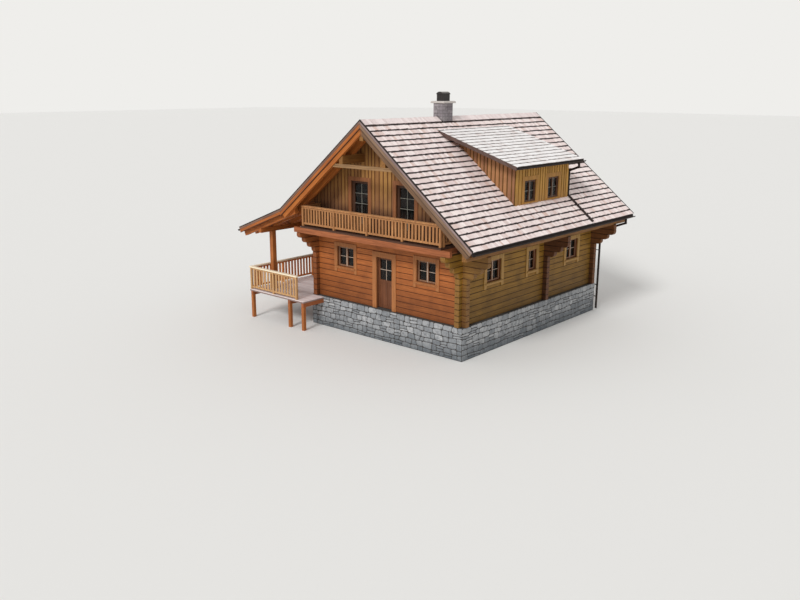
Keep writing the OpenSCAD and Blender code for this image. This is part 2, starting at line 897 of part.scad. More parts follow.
module balcony_floor() {
    x = balcony_x + rail_post;
    color("sienna") box([-x, -balcony_front, loft_z - balcony_board], [x, 0, loft_z]);
}

module balcony_rail_front() {
    color("sandybrown") translate([0, -balcony_d, loft_z])
        rail_panel(-balcony_x, balcony_x, balcony_bays, rail_h, baluster_pitch, baluster_w);
}

module balcony_rail_sides() {
    color("sandybrown") for (x = [-balcony_x, balcony_x])
        translate([x, 0, loft_z]) rotate(-90)
            rail_panel(handrail_w / 2, balcony_d - handrail_w - trim_t, 1,
                rail_h, baluster_pitch, baluster_w);
}

// Terrace

terrace_x = half_w + terrace_w;
rail_x = terrace_x - handrail_w / 2;
rail_y = handrail_w / 2 - terrace_front;
beam_low = deck_z - deck_t - deck_beam_d;
beam_front = rail_y - deck_beam_w / 2;

// Each beam: its left side, and its back end
deck_beams = [
    [-terrace_x + deck_beam_w / 2, house_l],
    [-plinth_x - 2 * deck_beam_w, house_l],
    [-half_w + terrace_wrap - deck_beam_w, -plinth_proud]
];

module terrace_deck() {
    color("sandybrown") difference() {
        box([-terrace_x, -terrace_front, deck_z - deck_t], [-half_w + terrace_wrap, house_l, deck_z]);
        box([-plinth_x, -plinth_proud, 0], [plinth_x, house_l + past, high]);
    }
}

module terrace_beams() {
    color("sienna") for (b = deck_beams)
        box([b[0], beam_front, beam_low], [b[0] + deck_beam_w, b[1], deck_z - deck_t]);
}

module terrace_posts() {
    run = house_l - deck_beam_w - beam_front;
    color("sienna") {
        for (b = [deck_beams[0], deck_beams[1]], i = [0 : deck_post_count - 1]) {
            y = beam_front + i * run / (deck_post_count - 1);
            box([b[0], y, 0], [b[0] + deck_beam_w, y + deck_beam_w, beam_low]);
        }
        box([deck_beams[2][0], beam_front, 0],
            [deck_beams[2][0] + deck_beam_w, beam_front + deck_beam_w, beam_low]);
    }
}

module terrace_rails() {
    color("tan") translate([0, 0, deck_z]) {
        translate([0, rail_y, 0])
            rail_panel(-rail_x, -half_w + terrace_rail_end, front_bays, terrace_rail_h, pale_pitch, pale_w);
        translate([-rail_x, 0, 0]) rotate(90)
            rail_panel(rail_y, house_l - handrail_w / 2, side_bays, terrace_rail_h, pale_pitch, pale_w);
    }
}

module porch_posts() {
    run = house_l - porch_post_w - porch_post_y;
    w = porch_post_w / 2;
    color("sienna") for (i = [0 : porch_post_count - 1]) {
        y = porch_post_y + i * run / (porch_post_count - 1);
        box([-porch_x - w, y - w, deck_z], [-porch_x + w, y + w, porch_beam_z]);
    }
}

// Windows: x across from the middle, y inwards from the wall's face, z up from the sill

lining_t = 20;
frame_d = 60;
sash_proud = 10;
sash_d = 40;
glass_t = 10;
sill_d = 40;

module window_frame(w, h, inset, sashes, stile, bottom, tail, low) {
    edge = w / 2 + trim_w;
    ring(-w / 2, w / 2, 0, h, lining_t, lining_t, lining_t, -trim_t, inset);
    ring(-w / 2, w / 2, 0, h, frame_w, frame_w, frame_w, inset - past, inset + frame_d);
    for (i = [0 : sashes - 1]) {
        sash_w = (w - 2 * frame_w) / sashes;
        x0 = frame_w - w / 2 + i * sash_w;
        ring(x0, x0 + sash_w, frame_w, h - frame_w, stile, stile, bottom,
            inset - sash_proud, inset + sash_d);
    }
    for (side = [-1, 1])
        box([side < 0 ? -edge : w / 2, -trim_t, -tail], [side < 0 ? -w / 2 : edge, 0, h]);
    box([-edge, -trim_t, h], [edge, 0, h + trim_w]);
    if (low > 0) {
        box([-w / 2, -trim_t, -low], [w / 2, 0, 0]);
        box([-w / 2 - trim_w / 2, -trim_t - sill_d, -sill_d], [w / 2 + trim_w / 2, -trim_t, 0]);
    }
}

module window_glass(w, h, inset) {
    box([frame_w - w / 2, inset + sash_d, frame_w],
        [w / 2 - frame_w, inset + sash_d + glass_t, h - frame_w]);
}

module lower_window(part, w, sashes) {
    if (part == "glass") window_glass(w, window_h, recess);
    else window_frame(w, window_h, recess, sashes, stile_w, stile_w, trim_tail, trim_low);
}

module at_lower_windows(part) {
    z = plinth_h + sill_z;
    for (x = lower_x) {
        translate([x, 0, z]) lower_window(part, window_w, 2);
        translate([x, house_l, z]) rotate(180) lower_window(part, window_w, 2);
    }
    for (k = [0 : 2], side = [-1, 1])
        translate([side * half_w, side_y[k], z]) rotate(side * 90)
            lower_window(part, side_w[k], side_w[k] > small_window_w ? 2 : 1);
}

module lower_window_frames() {
    color("sandybrown") at_lower_windows("frame");
}

module lower_window_glass() {
    color("darkslategray") at_lower_windows("glass");
}

module balcony_door(part) {
    if (part == "glass") window_glass(upper_door_w, upper_door_h, recess);
    else window_frame(upper_door_w, upper_door_h, recess, 1, upper_stile_w, upper_rail_d, 0, 0);
}

module loft_window(part) {
    if (part == "glass") window_glass(window_w, window_h, recess);
    else window_frame(window_w, window_h, recess, 2, stile_w, stile_w, trim_low, trim_low);
}

dormer_recess = 30;
dormer_trim_low = 50;
module dormer_window(part) {
    w = dormer_window_w;
    if (part == "glass") window_glass(w, dormer_window_h, dormer_recess);
    else window_frame(w, dormer_window_h, dormer_recess, 2,
        stile_w, stile_w, dormer_trim_low, dormer_trim_low);
}

module at_upper_windows(part) {
    for (x = upper_x) {
        translate([x, 0, loft_z]) balcony_door(part);
        translate([x, house_l, loft_z + loft_sill_z]) rotate(180) loft_window(part);
    }
    for (y = dormer_window_y)
        translate([dormer_x, y, dormer_z0]) rotate(90) dormer_window(part);
}

module upper_window_frames() {
    color("sandybrown") at_upper_windows("frame");
}

module upper_window_glass() {
    color("darkslategray") at_upper_windows("glass");
}

// Front door

// Gap under the leaf
leaf_foot = 20;
leaf_x0 = door_x0 + jamb_t + leaf_gap;
leaf_x1 = door_x1 - jamb_t - leaf_gap;
leaf_z0 = plinth_h + leaf_foot;
leaf_z1 = plinth_h + door_h - jamb_t - leaf_gap;
leaf_stile = 115;
leaf_panel = 12;
stop_w = 16;
stop_gap = 6;
hinge_r = 8;
hinge_h = 45;
hinge_plate = 3;
hinge_plate_w = 40;
// Distance of the outer hinges from the leaf's ends
hinge_in = 250;
hinge_x = leaf_x0 - leaf_gap / 2;
hinge_y = leaf_y + leaf_t + hinge_r;
hinge_z = [leaf_z0 + hinge_in, (leaf_z0 + leaf_z1) / 2, leaf_z1 - hinge_in];
light_z1 = leaf_z1 - leaf_stile;
light_z0 = light_z1 - light_h;

// One knuckle of a hinge with its plate, to the side where it is screwed on
module knuckle(z, side) {
    translate([hinge_x, hinge_y, z]) {
        cylinder(h = hinge_h, r = hinge_r);
        box([side < 0 ? -hinge_plate_w : 0, -hinge_r, 0],
            [side < 0 ? 0 : hinge_plate_w, hinge_plate - hinge_r, hinge_h]);
    }
}

module door_frame() {
    top = plinth_h + door_h;
    stop = jamb_t + leaf_gap + stop_w;
    color("sandybrown") {
        difference() {
            box([door_x0, -trim_t, plinth_h], [door_x1, leaf_y + leaf_t, top]);
            box([door_x0 + jamb_t, leaf_y - stop_gap, 0], [door_x1 - jamb_t, log_t, top - jamb_t]);
            box([door_x0 + stop, -trim_t - past, 0], [door_x1 - stop, log_t, top - stop]);
        }
        for (x = [door_x0 - trim_w, door_x1])
            box([x, -trim_t, plinth_h], [x + trim_w, 0, top]);
        box([door_x0 - trim_w, -trim_t, top], [door_x1 + trim_w, 0, top + trim_w]);
        for (z = hinge_z) knuckle(z + hinge_h + past, -1);
    }
}

module door_leaf() {
    middle = (leaf_x0 + leaf_x1) / 2;
    inner_x0 = leaf_x0 + leaf_stile;
    inner_x1 = leaf_x1 - leaf_stile;
    panel_z0 = leaf_z0 + leaf_stile;
    panel_z1 = light_z0 - leaf_stile;
    color("saddlebrown") {
        difference() {
            box([leaf_x0, leaf_y, leaf_z0], [leaf_x1, leaf_y + leaf_t, leaf_z1]);
            box([inner_x0, leaf_y - past, light_z0], [inner_x1, leaf_y + leaf_t + past, light_z1]);
            for (y = [leaf_y - past, leaf_y + leaf_t - leaf_panel]) {
                box([inner_x0, y, panel_z0],
                    [middle - leaf_stile / 2, y + leaf_panel + past, panel_z1]);
                box([middle + leaf_stile / 2, y, panel_z0],
                    [inner_x1, y + leaf_panel + past, panel_z1]);
            }
        }
        for (z = hinge_z) knuckle(z, 1);
    }
}

module door_glass() {
    y = leaf_y + (leaf_t - glass_t) / 2;
    color("darkslategray")
        box([leaf_x0 + leaf_stile, y, light_z0],
            [leaf_x1 - leaf_stile, y + glass_t, light_z1]);
}

handle_z = 1050;
handle_r = 9;
handle_l = 120;
handle_out = 55;
rose_r = 27;
module door_handle() {
    x = leaf_x1 - leaf_stile / 2;
    color("dimgray") for (side = [-1, 1])
        translate([x, side < 0 ? leaf_y : leaf_y + leaf_t, plinth_h + handle_z]) {
            rotate([-90 * side, 0, 0]) cylinder(h = handle_out, r = handle_r);
            rotate([-90 * side, 0, 0]) cylinder(h = handle_r, r = rose_r);
            translate([0, side * handle_out, 0]) rotate([0, -90, 0]) cylinder(h = handle_l, r = handle_r);
        }
}

// Gutters and downpipes

gutter_flange = 40;
gutter_end = 30;
gutter_drop = 100;
// How much thicker a pipe is at its bends
bead = 9;
clip_w = 30;
// Places of the downpipes along the house
right_pipe_y = house_l + plinth_proud + pipe_r + clip_w;
right_pipe_x = plinth_x + pipe_r + 2 * clip_w;
left_pipe_y = house_l - handrail_w - 2 * pipe_r;
left_pipe_x = terrace_x + pipe_r + clip_w;
dormer_eave_x = dormer_x + dormer_over_x;
dormer_pipe_y = dormer_y1 + pipe_r + bead + seat;

// Half-round gutter along Y, hung with its back edge at x and its rim at z, to the right or left
module gutter(x, z, side, y0, y1) {
    translate([x, 0, z]) mirror([side < 0 ? 1 : 0, 0, 0]) along_y(y0, y1) {
        difference() {
            translate([gutter_r, 0]) circle(gutter_r);
            translate([gutter_r, 0]) circle(gutter_r - gutter_t);
            translate([-past, 0]) square([2 * (gutter_r + past), gutter_r + past]);
        }
        translate([0, -gutter_t]) square([gutter_t, gutter_flange + gutter_t]);
    }
}

module gutters() {
    color("dimgray") {
        gutter(eave_x, main_z(eave_x) - gutter_drop, 1, roof_y0 - gutter_end, roof_y1 + gutter_end);
        gutter(-left_x, left_z(left_x) - gutter_drop, -1, roof_y0 - gutter_end, roof_y1 + gutter_end);
        gutter(dormer_eave_x, dormer_z(dormer_eave_x) - gutter_flange - gutter_t, 1,
            dormer_y0 - dormer_over_y - gutter_end, dormer_y1 + dormer_over_y + gutter_end);
    }
}

// A pipe through a row of points, with a bead at each bend
module pipe(points) {
    for (k = [0 : len(points) - 2]) {
        run = points[k + 1] - points[k];
        translate(points[k])
            rotate([0, acos(run[2] / norm(run)), atan2(run[1], run[0])])
                cylinder(h = norm(run), r = pipe_r);
    }
    for (k = [1 : len(points) - 2])
        translate(points[k]) sphere(pipe_r + bead);
}

// Points of a downpipe in the plane y: from under a gutter at x0 to a bend at height z, from there
// with the kicked slope's pitch to the wall at x1, and down to its foot
function downpipe(x0, z0, z, x1, y, foot) = [
    [x0, y, z0 - seat],
    [x0, y, z],
    [x1, y, z - abs(x1 - x0) * kick_slope],
    [x1, y, foot]
];

foot_z = 100;
bend_drop = 100;
dormer_bend_drop = 200;

// The right downpipe's upper bend lies low enough for the pipe to pass under the eave purlin
module right_downpipe() {
    x = eave_x + gutter_r;
    under = wall_top - clip_w - pipe_r / cos(kick_pitch);
    bend_z = under + (x - eave_purlin_x - purlin_w / 2) * kick_slope;
    clip_y = house_l + log_end / 2;
    clip_z = plinth_h + (floor(courses / 2) + 0.5) * course_h;
    pipe(downpipe(x, main_z(eave_x) - gutter_drop - gutter_r, bend_z, right_pipe_x, right_pipe_y, foot_z));
    for (z = [plinth_h / 2, plinth_h - gutter_drop])
        box([plinth_x - pipe_r, house_l + plinth_proud, z], [right_pipe_x, right_pipe_y, z + clip_w]);
    box([half_w, clip_y, clip_z], [right_pipe_x, clip_y + clip_w, clip_z + clip_w]);
    box([right_pipe_x - clip_w, clip_y, clip_z], [right_pipe_x, right_pipe_y, clip_z + clip_w]);
}

module left_downpipe() {
    z = left_z(left_x) - gutter_drop - gutter_r;
    pipe(downpipe(-left_x - gutter_r, z, z - bend_drop, -left_pipe_x, left_pipe_y, foot_z));
    box([-left_pipe_x, left_pipe_y - clip_w / 2, deck_z - deck_t],
        [-terrace_x, left_pipe_y + clip_w / 2, deck_z]);
}

// The dormer's downpipe goes down its back corner and on over the main slope to the eave
module dormer_downpipe() {
    z = dormer_z(dormer_eave_x) - gutter_flange - gutter_t - gutter_r;
    lift = (pipe_r + bead + seat) / cos(roof_pitch);
    foot = main_z(dormer_x) + lift;
    route = downpipe(dormer_eave_x + gutter_r, z, z - dormer_bend_drop, dormer_x, dormer_pipe_y, foot);
    clip_z = (route[2][2] + foot) / 2;
    pipe(concat(route, [[eave_x, dormer_pipe_y, main_z(eave_x) + lift]]));
    box([dormer_x - pipe_r, dormer_y1, clip_z], [dormer_x, dormer_pipe_y, clip_z + clip_w]);
}

module downpipes() {
    color("dimgray") {
        right_downpipe();
        left_downpipe();
        dormer_downpipe();
    }
}

stone_plinth();
ground_floor();
log_wall_front_left();
log_wall_front_right();
log_wall_front_over();
log_wall_right();
log_wall_left();
log_wall_back();
log_wall_cross();
loft_floor();
gable_front();
gable_back();
knee_walls();
roof_right();
roof_left();
roof_kick();
ridge_cap();
rafters();
porch_rafters();
purlins();
barge_boards();
tie_beams();
dormer_front();
dormer_cheeks();
dormer_roof();
chimney_stack();
chimney_flashing();
chimney_cap();
chimney_cowl();
balcony_beam();
balcony_joists();
balcony_floor();
balcony_rail_front();
balcony_rail_sides();
terrace_deck();
terrace_beams();
terrace_posts();
terrace_rails();
porch_posts();
lower_window_frames();
lower_window_glass();
upper_window_frames();
upper_window_glass();
door_frame();
door_leaf();
door_glass();
door_handle();
gutters();
downpipes();
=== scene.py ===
# %% [markdown]
# # An alpine log chalet
#
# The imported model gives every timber, wall and slab at its real size, in metres, with X across the front
# gable, Y back along the ridge and Z up from the lowest ground. This lesson dresses it: it lays the shakes
# and stones, nails on the boards, sets the bars in the windows and gives every surface its finish.

# %% Load the frame
import math
import random

import bpy
from mathutils import Matrix, Vector


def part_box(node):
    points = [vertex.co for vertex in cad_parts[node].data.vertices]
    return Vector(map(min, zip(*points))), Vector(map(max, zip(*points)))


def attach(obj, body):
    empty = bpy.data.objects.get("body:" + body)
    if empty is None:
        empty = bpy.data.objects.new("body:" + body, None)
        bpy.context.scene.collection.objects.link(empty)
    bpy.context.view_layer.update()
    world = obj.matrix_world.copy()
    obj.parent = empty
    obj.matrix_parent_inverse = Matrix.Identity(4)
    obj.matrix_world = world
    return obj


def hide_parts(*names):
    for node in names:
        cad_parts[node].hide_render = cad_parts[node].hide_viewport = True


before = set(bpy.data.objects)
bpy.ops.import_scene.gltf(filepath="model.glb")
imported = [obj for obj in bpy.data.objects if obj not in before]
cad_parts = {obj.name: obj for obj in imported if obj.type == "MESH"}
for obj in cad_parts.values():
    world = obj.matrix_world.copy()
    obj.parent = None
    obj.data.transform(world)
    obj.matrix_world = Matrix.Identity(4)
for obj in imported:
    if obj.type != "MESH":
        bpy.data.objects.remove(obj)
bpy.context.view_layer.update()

# %% [markdown]
# ## Measures taken from the frame
#
# The small pieces below sit on the house, so they need its heights and edges. These could be copied as
# numbers from the model's source. Taken from the boxes of its nodes, they follow the house by themselves if
# it is made again at another size. Only what a box doesn't tell, such as a pitch, is written a second time.

# %% Sizes of the house
def low(node):
    """The corner of a node's box with the lowest values."""
    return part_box(node)[0]


def high(node):
    """The corner of a node's box with the highest values."""
    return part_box(node)[1]


FLOOR_Z = high("stone_plinth").z
WALL_TOP = high("log_wall_right").z
RIDGE_Z = high("roof_left").z
HALF_W = high("gable_front").x
HOUSE_L = high("gable_back").y
print("floor", round(FLOOR_Z, 3), "wall top", round(WALL_TOP, 3), "ridge", round(RIDGE_Z, 3))
print("log walls", round(2 * HALF_W, 2), "by", round(HOUSE_L, 2), "m")

# %% [markdown]
# ## Camera
#
# The photograph was taken from in front and to the right of the house, a little above its ridge. A camera
# could be set by eye until the picture looks alike. Here its place, turn and focal length were found by
# fitting the house's corners to the photograph, so that the two pictures can be laid over each other.

# %% Camera at the photograph's place
CAMERA_PLACE = Vector((22.694, -24.832, 10.494))
CAMERA_AZIMUTH = math.radians(41.269)
CAMERA_DOWN = math.radians(14.565)
CAMERA_ROLL = math.radians(0.1407)
SENSOR = 36.0
FOCAL_PIXELS = 826.427
IMAGE_WIDTH = 800
FAR_CLIP = 400


def make_camera():
    """A camera with the photograph's place, turn and focal length."""
    ahead = Vector((-math.sin(CAMERA_AZIMUTH) * math.cos(CAMERA_DOWN),
                    math.cos(CAMERA_AZIMUTH) * math.cos(CAMERA_DOWN), -math.sin(CAMERA_DOWN)))
    right = Vector((math.cos(CAMERA_AZIMUTH), math.sin(CAMERA_AZIMUTH), 0))
    up = right.cross(ahead)
    across = right * math.cos(CAMERA_ROLL) + up * math.sin(CAMERA_ROLL)
    upward = up * math.cos(CAMERA_ROLL) - right * math.sin(CAMERA_ROLL)
    bpy.ops.object.camera_add(location=CAMERA_PLACE)
    camera = bpy.context.object
    camera.name = "photo_camera"
    camera.rotation_euler = Matrix((across, upward, -ahead)).transposed().to_euler()
    camera.data.sensor_width = SENSOR
    camera.data.lens = SENSOR * FOCAL_PIXELS / IMAGE_WIDTH
    camera.data.clip_end = FAR_CLIP
    bpy.context.scene.camera = camera
    return camera


print("lens", round(make_camera().data.lens, 2), "mm")

# %% [markdown]
# ## Colours and nodes
#
# Every finish is a small tree of nodes. Colours are written as sRGB codes and Blender works in linear
# light, so one function turns them. A tree could be written node by node and link by link, which hides the
# finish behind its wiring. Here one function adds a node, makes its settings and fills its inputs in their
# order, so that a line reads as one step.

# %% Turning colours and adding nodes
def srgb(code):
    """A colour written as sRGB hex, turned to the linear values that Blender works in."""
    parts = [int(code[i:i + 2], 16) / 255 for i in (1, 3, 5)]
    return tuple(c / 12.92 if c <= 0.04045 else ((c + 0.055) / 1.055) ** 2.4 for c in parts) + (1.0,)


def connect(tree, node, inputs):
    """Fills a node's inputs, by name from a dict, or else in the order of those in use.

    What goes in is a value, an sRGB code, a socket, or a node, of which the first output in use is taken.
    """
    if isinstance(inputs, dict):
        filled = [(node.inputs[name], value) for name, value in inputs.items()]
    else:
        filled = zip([socket for socket in node.inputs if socket.enabled], inputs)
    for socket, value in filled:
        if isinstance(value, bpy.types.Node):
            value = next(output for output in value.outputs if output.enabled)
        if isinstance(value, bpy.types.NodeSocket):
            tree.links.new(value, socket)
        else:
            socket.default_value = srgb(value) if isinstance(value, str) else value


def add(tree, kind, inputs=(), **settings):
    """Adds one node to a tree, with its settings and its inputs."""
    node = tree.nodes.new("ShaderNode" + kind)
    for name, value in settings.items():
        setattr(node, name, value)
    connect(tree, node, inputs)
    return node


print("mid grey in linear light", round(srgb("#808080")[0], 3))

# %% [markdown]
# ## Studio
#
# The house is shown as a model on a pale floor, not in its garden. A picture of a sky could light it, but
# it would tint every colour. An even sky and one broad lamp from the front light an upright wall at about
# one, so that a colour renders about as it is written. What the camera, mirrors and glass see of the sky is
# a separate pale tone.

# %% Sky and lamp
SKY_LIGHT = 0.62
LAMP_LIGHT = 1.75
LAMP_SPREAD = math.radians(16)
LAMP_TILT, LAMP_TURN = math.radians(52), math.radians(12)
BACK_COLOUR = "#EFEEEB"


def light_sky():
    scene = bpy.context.scene
    scene.view_settings.view_transform = "Standard"
    scene.world = bpy.data.worlds.new("even_sky")
    scene.world.use_nodes = True
    tree = scene.world.node_tree
    tree.nodes.clear()
    path = add(tree, "LightPath").outputs
    direct = add(tree, "Math", (path["Is Camera Ray"], path["Is Glossy Ray"]), operation="MAXIMUM")
    seen = add(tree, "Math", (direct, path["Is Transmission Ray"]), operation="MAXIMUM")
    lighting = add(tree, "Background", {"Color": "#FFFFFF", "Strength": SKY_LIGHT})
    backdrop = add(tree, "Background", {"Color": BACK_COLOUR, "Strength": 1.0})
    add(tree, "OutputWorld", {"Surface": add(tree, "MixShader", (seen, lighting, backdrop))})


def hang_lamp():
    bpy.ops.object.light_add(type="SUN", rotation=(LAMP_TILT, 0, LAMP_TURN))
    lamp = bpy.context.object
    lamp.name = "broad_lamp"
    lamp.data.energy = LAMP_LIGHT
    lamp.data.angle = LAMP_SPREAD


light_sky()
hang_lamp()
print("sky", SKY_LIGHT, "lamp", LAMP_LIGHT)

# %% [markdown]
# The floor is a dull, pale sheet, so wide that its far edge passes for the horizon. A curved backdrop, as
# in a photo studio, would look right from one side only.

# %% Floor
FLOOR_COLOUR = "#E9E8E5"
FLOOR_SIZE = 600


def lay_floor():
    bpy.ops.mesh.primitive_plane_add(size=FLOOR_SIZE, location=(0, 0, 0))
    floor = bpy.context.object
    floor.name = "studio_floor"
    material = bpy.data.materials.new("pale_floor")
    material.use_nodes = True
    shader = material.node_tree.nodes["Principled BSDF"]
    shader.inputs["Base Color"].default_value = srgb(FLOOR_COLOUR)
    shader.inputs["Roughness"].default_value = 0.9
    floor.data.materials.append(material)


lay_floor()
print("floor", FLOOR_SIZE, "m wide")

# %% [markdown]
# ## What all finishes share
#
# A material starts as a principled shader, whose colour, roughness and sheen are the first things the eye
# judges. Each finish could begin from nothing, but a common start keeps the sheen alike where it is alike
# on the house.

# %% Starting a material
SHEEN = 0.3


def start_material(name, roughness):
    """A principled material. Rough wood and stone out of doors have little sheen."""
    material = bpy.data.materials.new(name)
    material.use_nodes = True
    tree = material.node_tree
    shader = tree.nodes["Principled BSDF"]
    shader.inputs["Roughness"].default_value = roughness
    shader.inputs["Specular IOR Level"].default_value = SHEEN
    return material, tree, shader


def dress(material, *nodes):
    """Gives CAD nodes their finish."""
    for name in nodes:
        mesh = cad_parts[name].data
        mesh.materials.clear()
        mesh.materials.append(material)


print("sheen", SHEEN)

# %% [markdown]
# Wood, stone and dust all change from place to place in patches of some size. A painted image could hold
# them, but it would repeat and would need a file. Noise on the house's own coordinates never repeats and
# needs none: it is stretched until its specks have the real size of what it draws. A finish is then built
# up in coats. Each coat is a colour, with a share from 0 to 1 that says how well it covers, and a Map Range
# node picks the stretch of a noise or of a height over which that share rises.

# %% Noise and coats
def object_xyz(tree):
    """Where a point lies in the house, as three sockets."""
    return add(tree, "SeparateXYZ", (add(tree, "TexCoord").outputs["Object"],)).outputs


def normal_xyz(tree):
    """Which way a face looks, as three sockets."""
    return add(tree, "SeparateXYZ", (add(tree, "NewGeometry").outputs["Normal"],)).outputs


def specks(tree, size, detail=3.0, roughness=0.55, place=None):
    """Noise whose specks have a real size in metres, one for all axes or one for each."""
    sizes = size if isinstance(size, tuple) else (size,) * 3
    if place is None:
        place = add(tree, "TexCoord").outputs["Object"]
    sized = add(tree, "Mapping", {"Vector": place, "Scale": [1 / s for s in sizes]})
    return add(tree, "TexNoise", (sized, 1.0, detail, roughness))


def coats(tree, colour, *laid):
    """Colours laid over a first one. Each is given with the share that it covers."""
    for share, over in laid:
        colour = add(tree, "Mix", (share, colour, over), data_type="RGBA")
    return colour


def surface(tree, shader, colour, relief, depth):
    """Gives a surface its colour, and a relief of a real depth in metres."""
    bump = add(tree, "Bump", {"Height": relief, "Distance": depth})
    connect(tree, shader, {"Base Color": colour, "Normal": bump})


print("specks, coats and reliefs can be laid")

# %% [markdown]
# ## How wood is drawn
#
# Every timber here is sawn spruce or larch. What the eye reads is the colour of the oil, streaks of grain
# that run along the piece, and a change of tone from one place to the next. A wood texture node could draw
# year rings, but on planed timber they show as streaks, and noise stretched along the timber is nearer to
# that. Streaks 9 mm apart would be true. They wouldn't show from the camera's distance, so they are drawn
# 30 mm apart.

# %% Grain
GRAIN_ACROSS = 0.030
GRAIN_ALONG = 0.9
STREAKS = (0.35, 0.68)


def grain(tree, axis):
    """Streaks along one axis: 0 is X, 1 is Y and 2 is Z."""
    sizes = [GRAIN_ACROSS] * 3
    sizes[axis] = GRAIN_ALONG
    return specks(tree, tuple(sizes), 4.0, 0.6)


def streaked(tree, streaks, *pairs):
    """Pairs of tones, each mixed by the streaks."""
    worn = add(tree, "MapRange", (streaks, *STREAKS))
    return [coats(tree, light, (worn, dark)) for light, dark in pairs]


print("grain", round(GRAIN_ACROSS * 1000), "mm across and", round(GRAIN_ALONG * 1000), "mm along")

# %% [markdown]
# ## Squared logs
#
# The walls are larch logs, squared on the saw, laid in courses and oiled. A log wall is read by its
# courses: one log, a dark joint, the next log in a slightly other tone. Each log could be a piece with a
# material of its own. One material does for a whole wall, because the height above the floor tells the
# course: a random value for each course gives the tone, and the height inside the course gives the joint.
# The ends, which face along the log, are paler and cracked. Low on the wall the logs are darker.

# %% Courses and ends of logs
COURSE = 0.246
CRACK_SIZE = 0.05


def course_marks(tree, z):
    """A random tone for each course of logs, and the distance from the nearest joint."""
    above = add(tree, "Math", (z, FLOOR_Z), operation="SUBTRACT")
    course = add(tree, "Math", (above, COURSE), operation="DIVIDE")
    index = add(tree, "Math", (course,), operation="FLOOR")
    tone = add(tree, "TexWhiteNoise", (index,), noise_dimensions="1D")
    share = add(tree, "Math", (course,), operation="FRACT")
    height = add(tree, "Math", (share, COURSE), operation="MULTIPLY")
    from_top = add(tree, "Math", (COURSE, height), operation="SUBTRACT")
    return tone, add(tree, "Math", (height, from_top), operation="MINIMUM")


def end_grain(tree, end, dark, axis):
    """The share and the colour of the logs' ends."""
    along = add(tree, "Math", (normal_xyz(tree)[axis],), operation="ABSOLUTE")
    on_end = add(tree, "MapRange", (along, 0.6, 0.8))
    cracked = add(tree, "MapRange", (specks(tree, CRACK_SIZE, 5.0), 0.4, 0.65))
    return add(tree, "Math", (on_end, 0.7), operation="MULTIPLY"), coats(tree, end, (cracked, dark))


print("courses of logs", round((WALL_TOP - FLOOR_Z) / COURSE))

# %% [markdown]
# The coats then go on in the order in which they came to the wood: the oil with its grain, the tone of the
# course, stains in patches, a darker tone near the floor, the cut ends, and last the shade in the joints,
# which darkens all of them. One flat tone for each wall would be simpler, but logs look like logs by their
# differences.

# %% Log finish
JOINT_HALF = 0.022
JOINT_CORE = 0.4
LOGS_DARKER_TO = 2.1
STAIN_SIZE = 0.7
LOG_RELIEF = 0.006
PAST_WALL = 0.004


def log_finish(name, light, dark, joint, end, axis, shaded_pair=None):
    """Logs along one axis. The shaded pair is painted shade, for what stands out past the right wall."""
    material, tree, shader = start_material(name, 0.6)
    x, _, z = object_xyz(tree)
    tone, from_joint = course_marks(tree, z)
    if shaded_pair:
        past_wall = add(tree, "Math", (x, HALF_W + PAST_WALL), operation="GREATER_THAN")
        light, dark = (coats(tree, own_tone, (past_wall, shaded_tone)) for own_tone, shaded_tone in zip((light, dark), shaded_pair))
    streaks = grain(tree, axis)
    worn = add(tree, "MapRange", (streaks, 0.34, 0.7))
    other_tone = add(tree, "MapRange", (tone, 0.0, 1.0, 0.0, 0.4))
    stained = add(tree, "MapRange", (specks(tree, STAIN_SIZE), 0.45, 0.75, 0.0, 0.35))
    # The logs are darker towards the floor
    logs_darker_low = add(tree, "MapRange", (z, FLOOR_Z, FLOOR_Z + LOGS_DARKER_TO, 0.6, 0.0))
    jointed = add(tree, "MapRange", (from_joint, JOINT_CORE * JOINT_HALF, JOINT_HALF, 0.85, 0.0))
    colour = coats(tree, light, (worn, dark), (other_tone, dark), (stained, joint), (logs_darker_low, joint),
                   end_grain(tree, end, dark, axis), (jointed, joint))
    surface(tree, shader, colour, streaks, LOG_RELIEF)
    return material


# %% [markdown]
# The oil is the same on all walls, and the light has changed how it looks. Oil warms larch to orange, as on
# the front under the porch. The other walls are painted as they look in shade: the right wall, and the log
# ends that stand out past it, in honey, and the others in red and brown. So each wall has its own pair of
# tones, then the tones of its joints and of its ends.

# %% Log walls
# Apart from the front's orange, these pairs of tones are painted shade: darker copies of the same oil
SHADED_HONEY = ("#9C743A", "#6E4C22")
dress(log_finish("larch_logs_orange_oil", "#D07C3E", "#9A5426", "#3E1C0C", "#8E6638", 0, SHADED_HONEY),
      "log_wall_front_left", "log_wall_front_right", "log_wall_front_over")
dress(log_finish("larch_logs_honey_painted_shade", "#B28430", "#7C571A", "#2E1C08", "#946A3C", 1), "log_wall_right")
dress(log_finish("larch_logs_red_painted_shade", "#B06C38", "#7A4421", "#33160B", "#8C4E2A", 1), "log_wall_left")
dress(log_finish("larch_logs_brown_painted_shade", "#8E5C34", "#5F3B1E", "#2C180B", "#7C5030", 0), "log_wall_back")
dress(log_finish("larch_logs_dark_painted_shade", "#7E5030", "#4F301A", "#25150A", "#74482A", 0), "log_wall_cross")
print("log walls finished")

# %% [markdown]
# ## The other timbers
#
# Rafters, purlins and posts are planed spruce, oiled a bright orange brown; boards, rails and floors each
# have their own tone. They could share one material with a tint for each, but a light and a dark tone for
# each finish are as quick to write and come nearer to the real wood. The handrail's top takes a painted
# highlight, and the purlins are brighter under the porch than at the right eave.

# %% Timber finish
GRAIN_DEPTH = 0.004


def facing_up(tree):
    """1 on faces that look up, 0 on all others."""
    return add(tree, "MapRange", (normal_xyz(tree)[2], 0.7, 0.9))


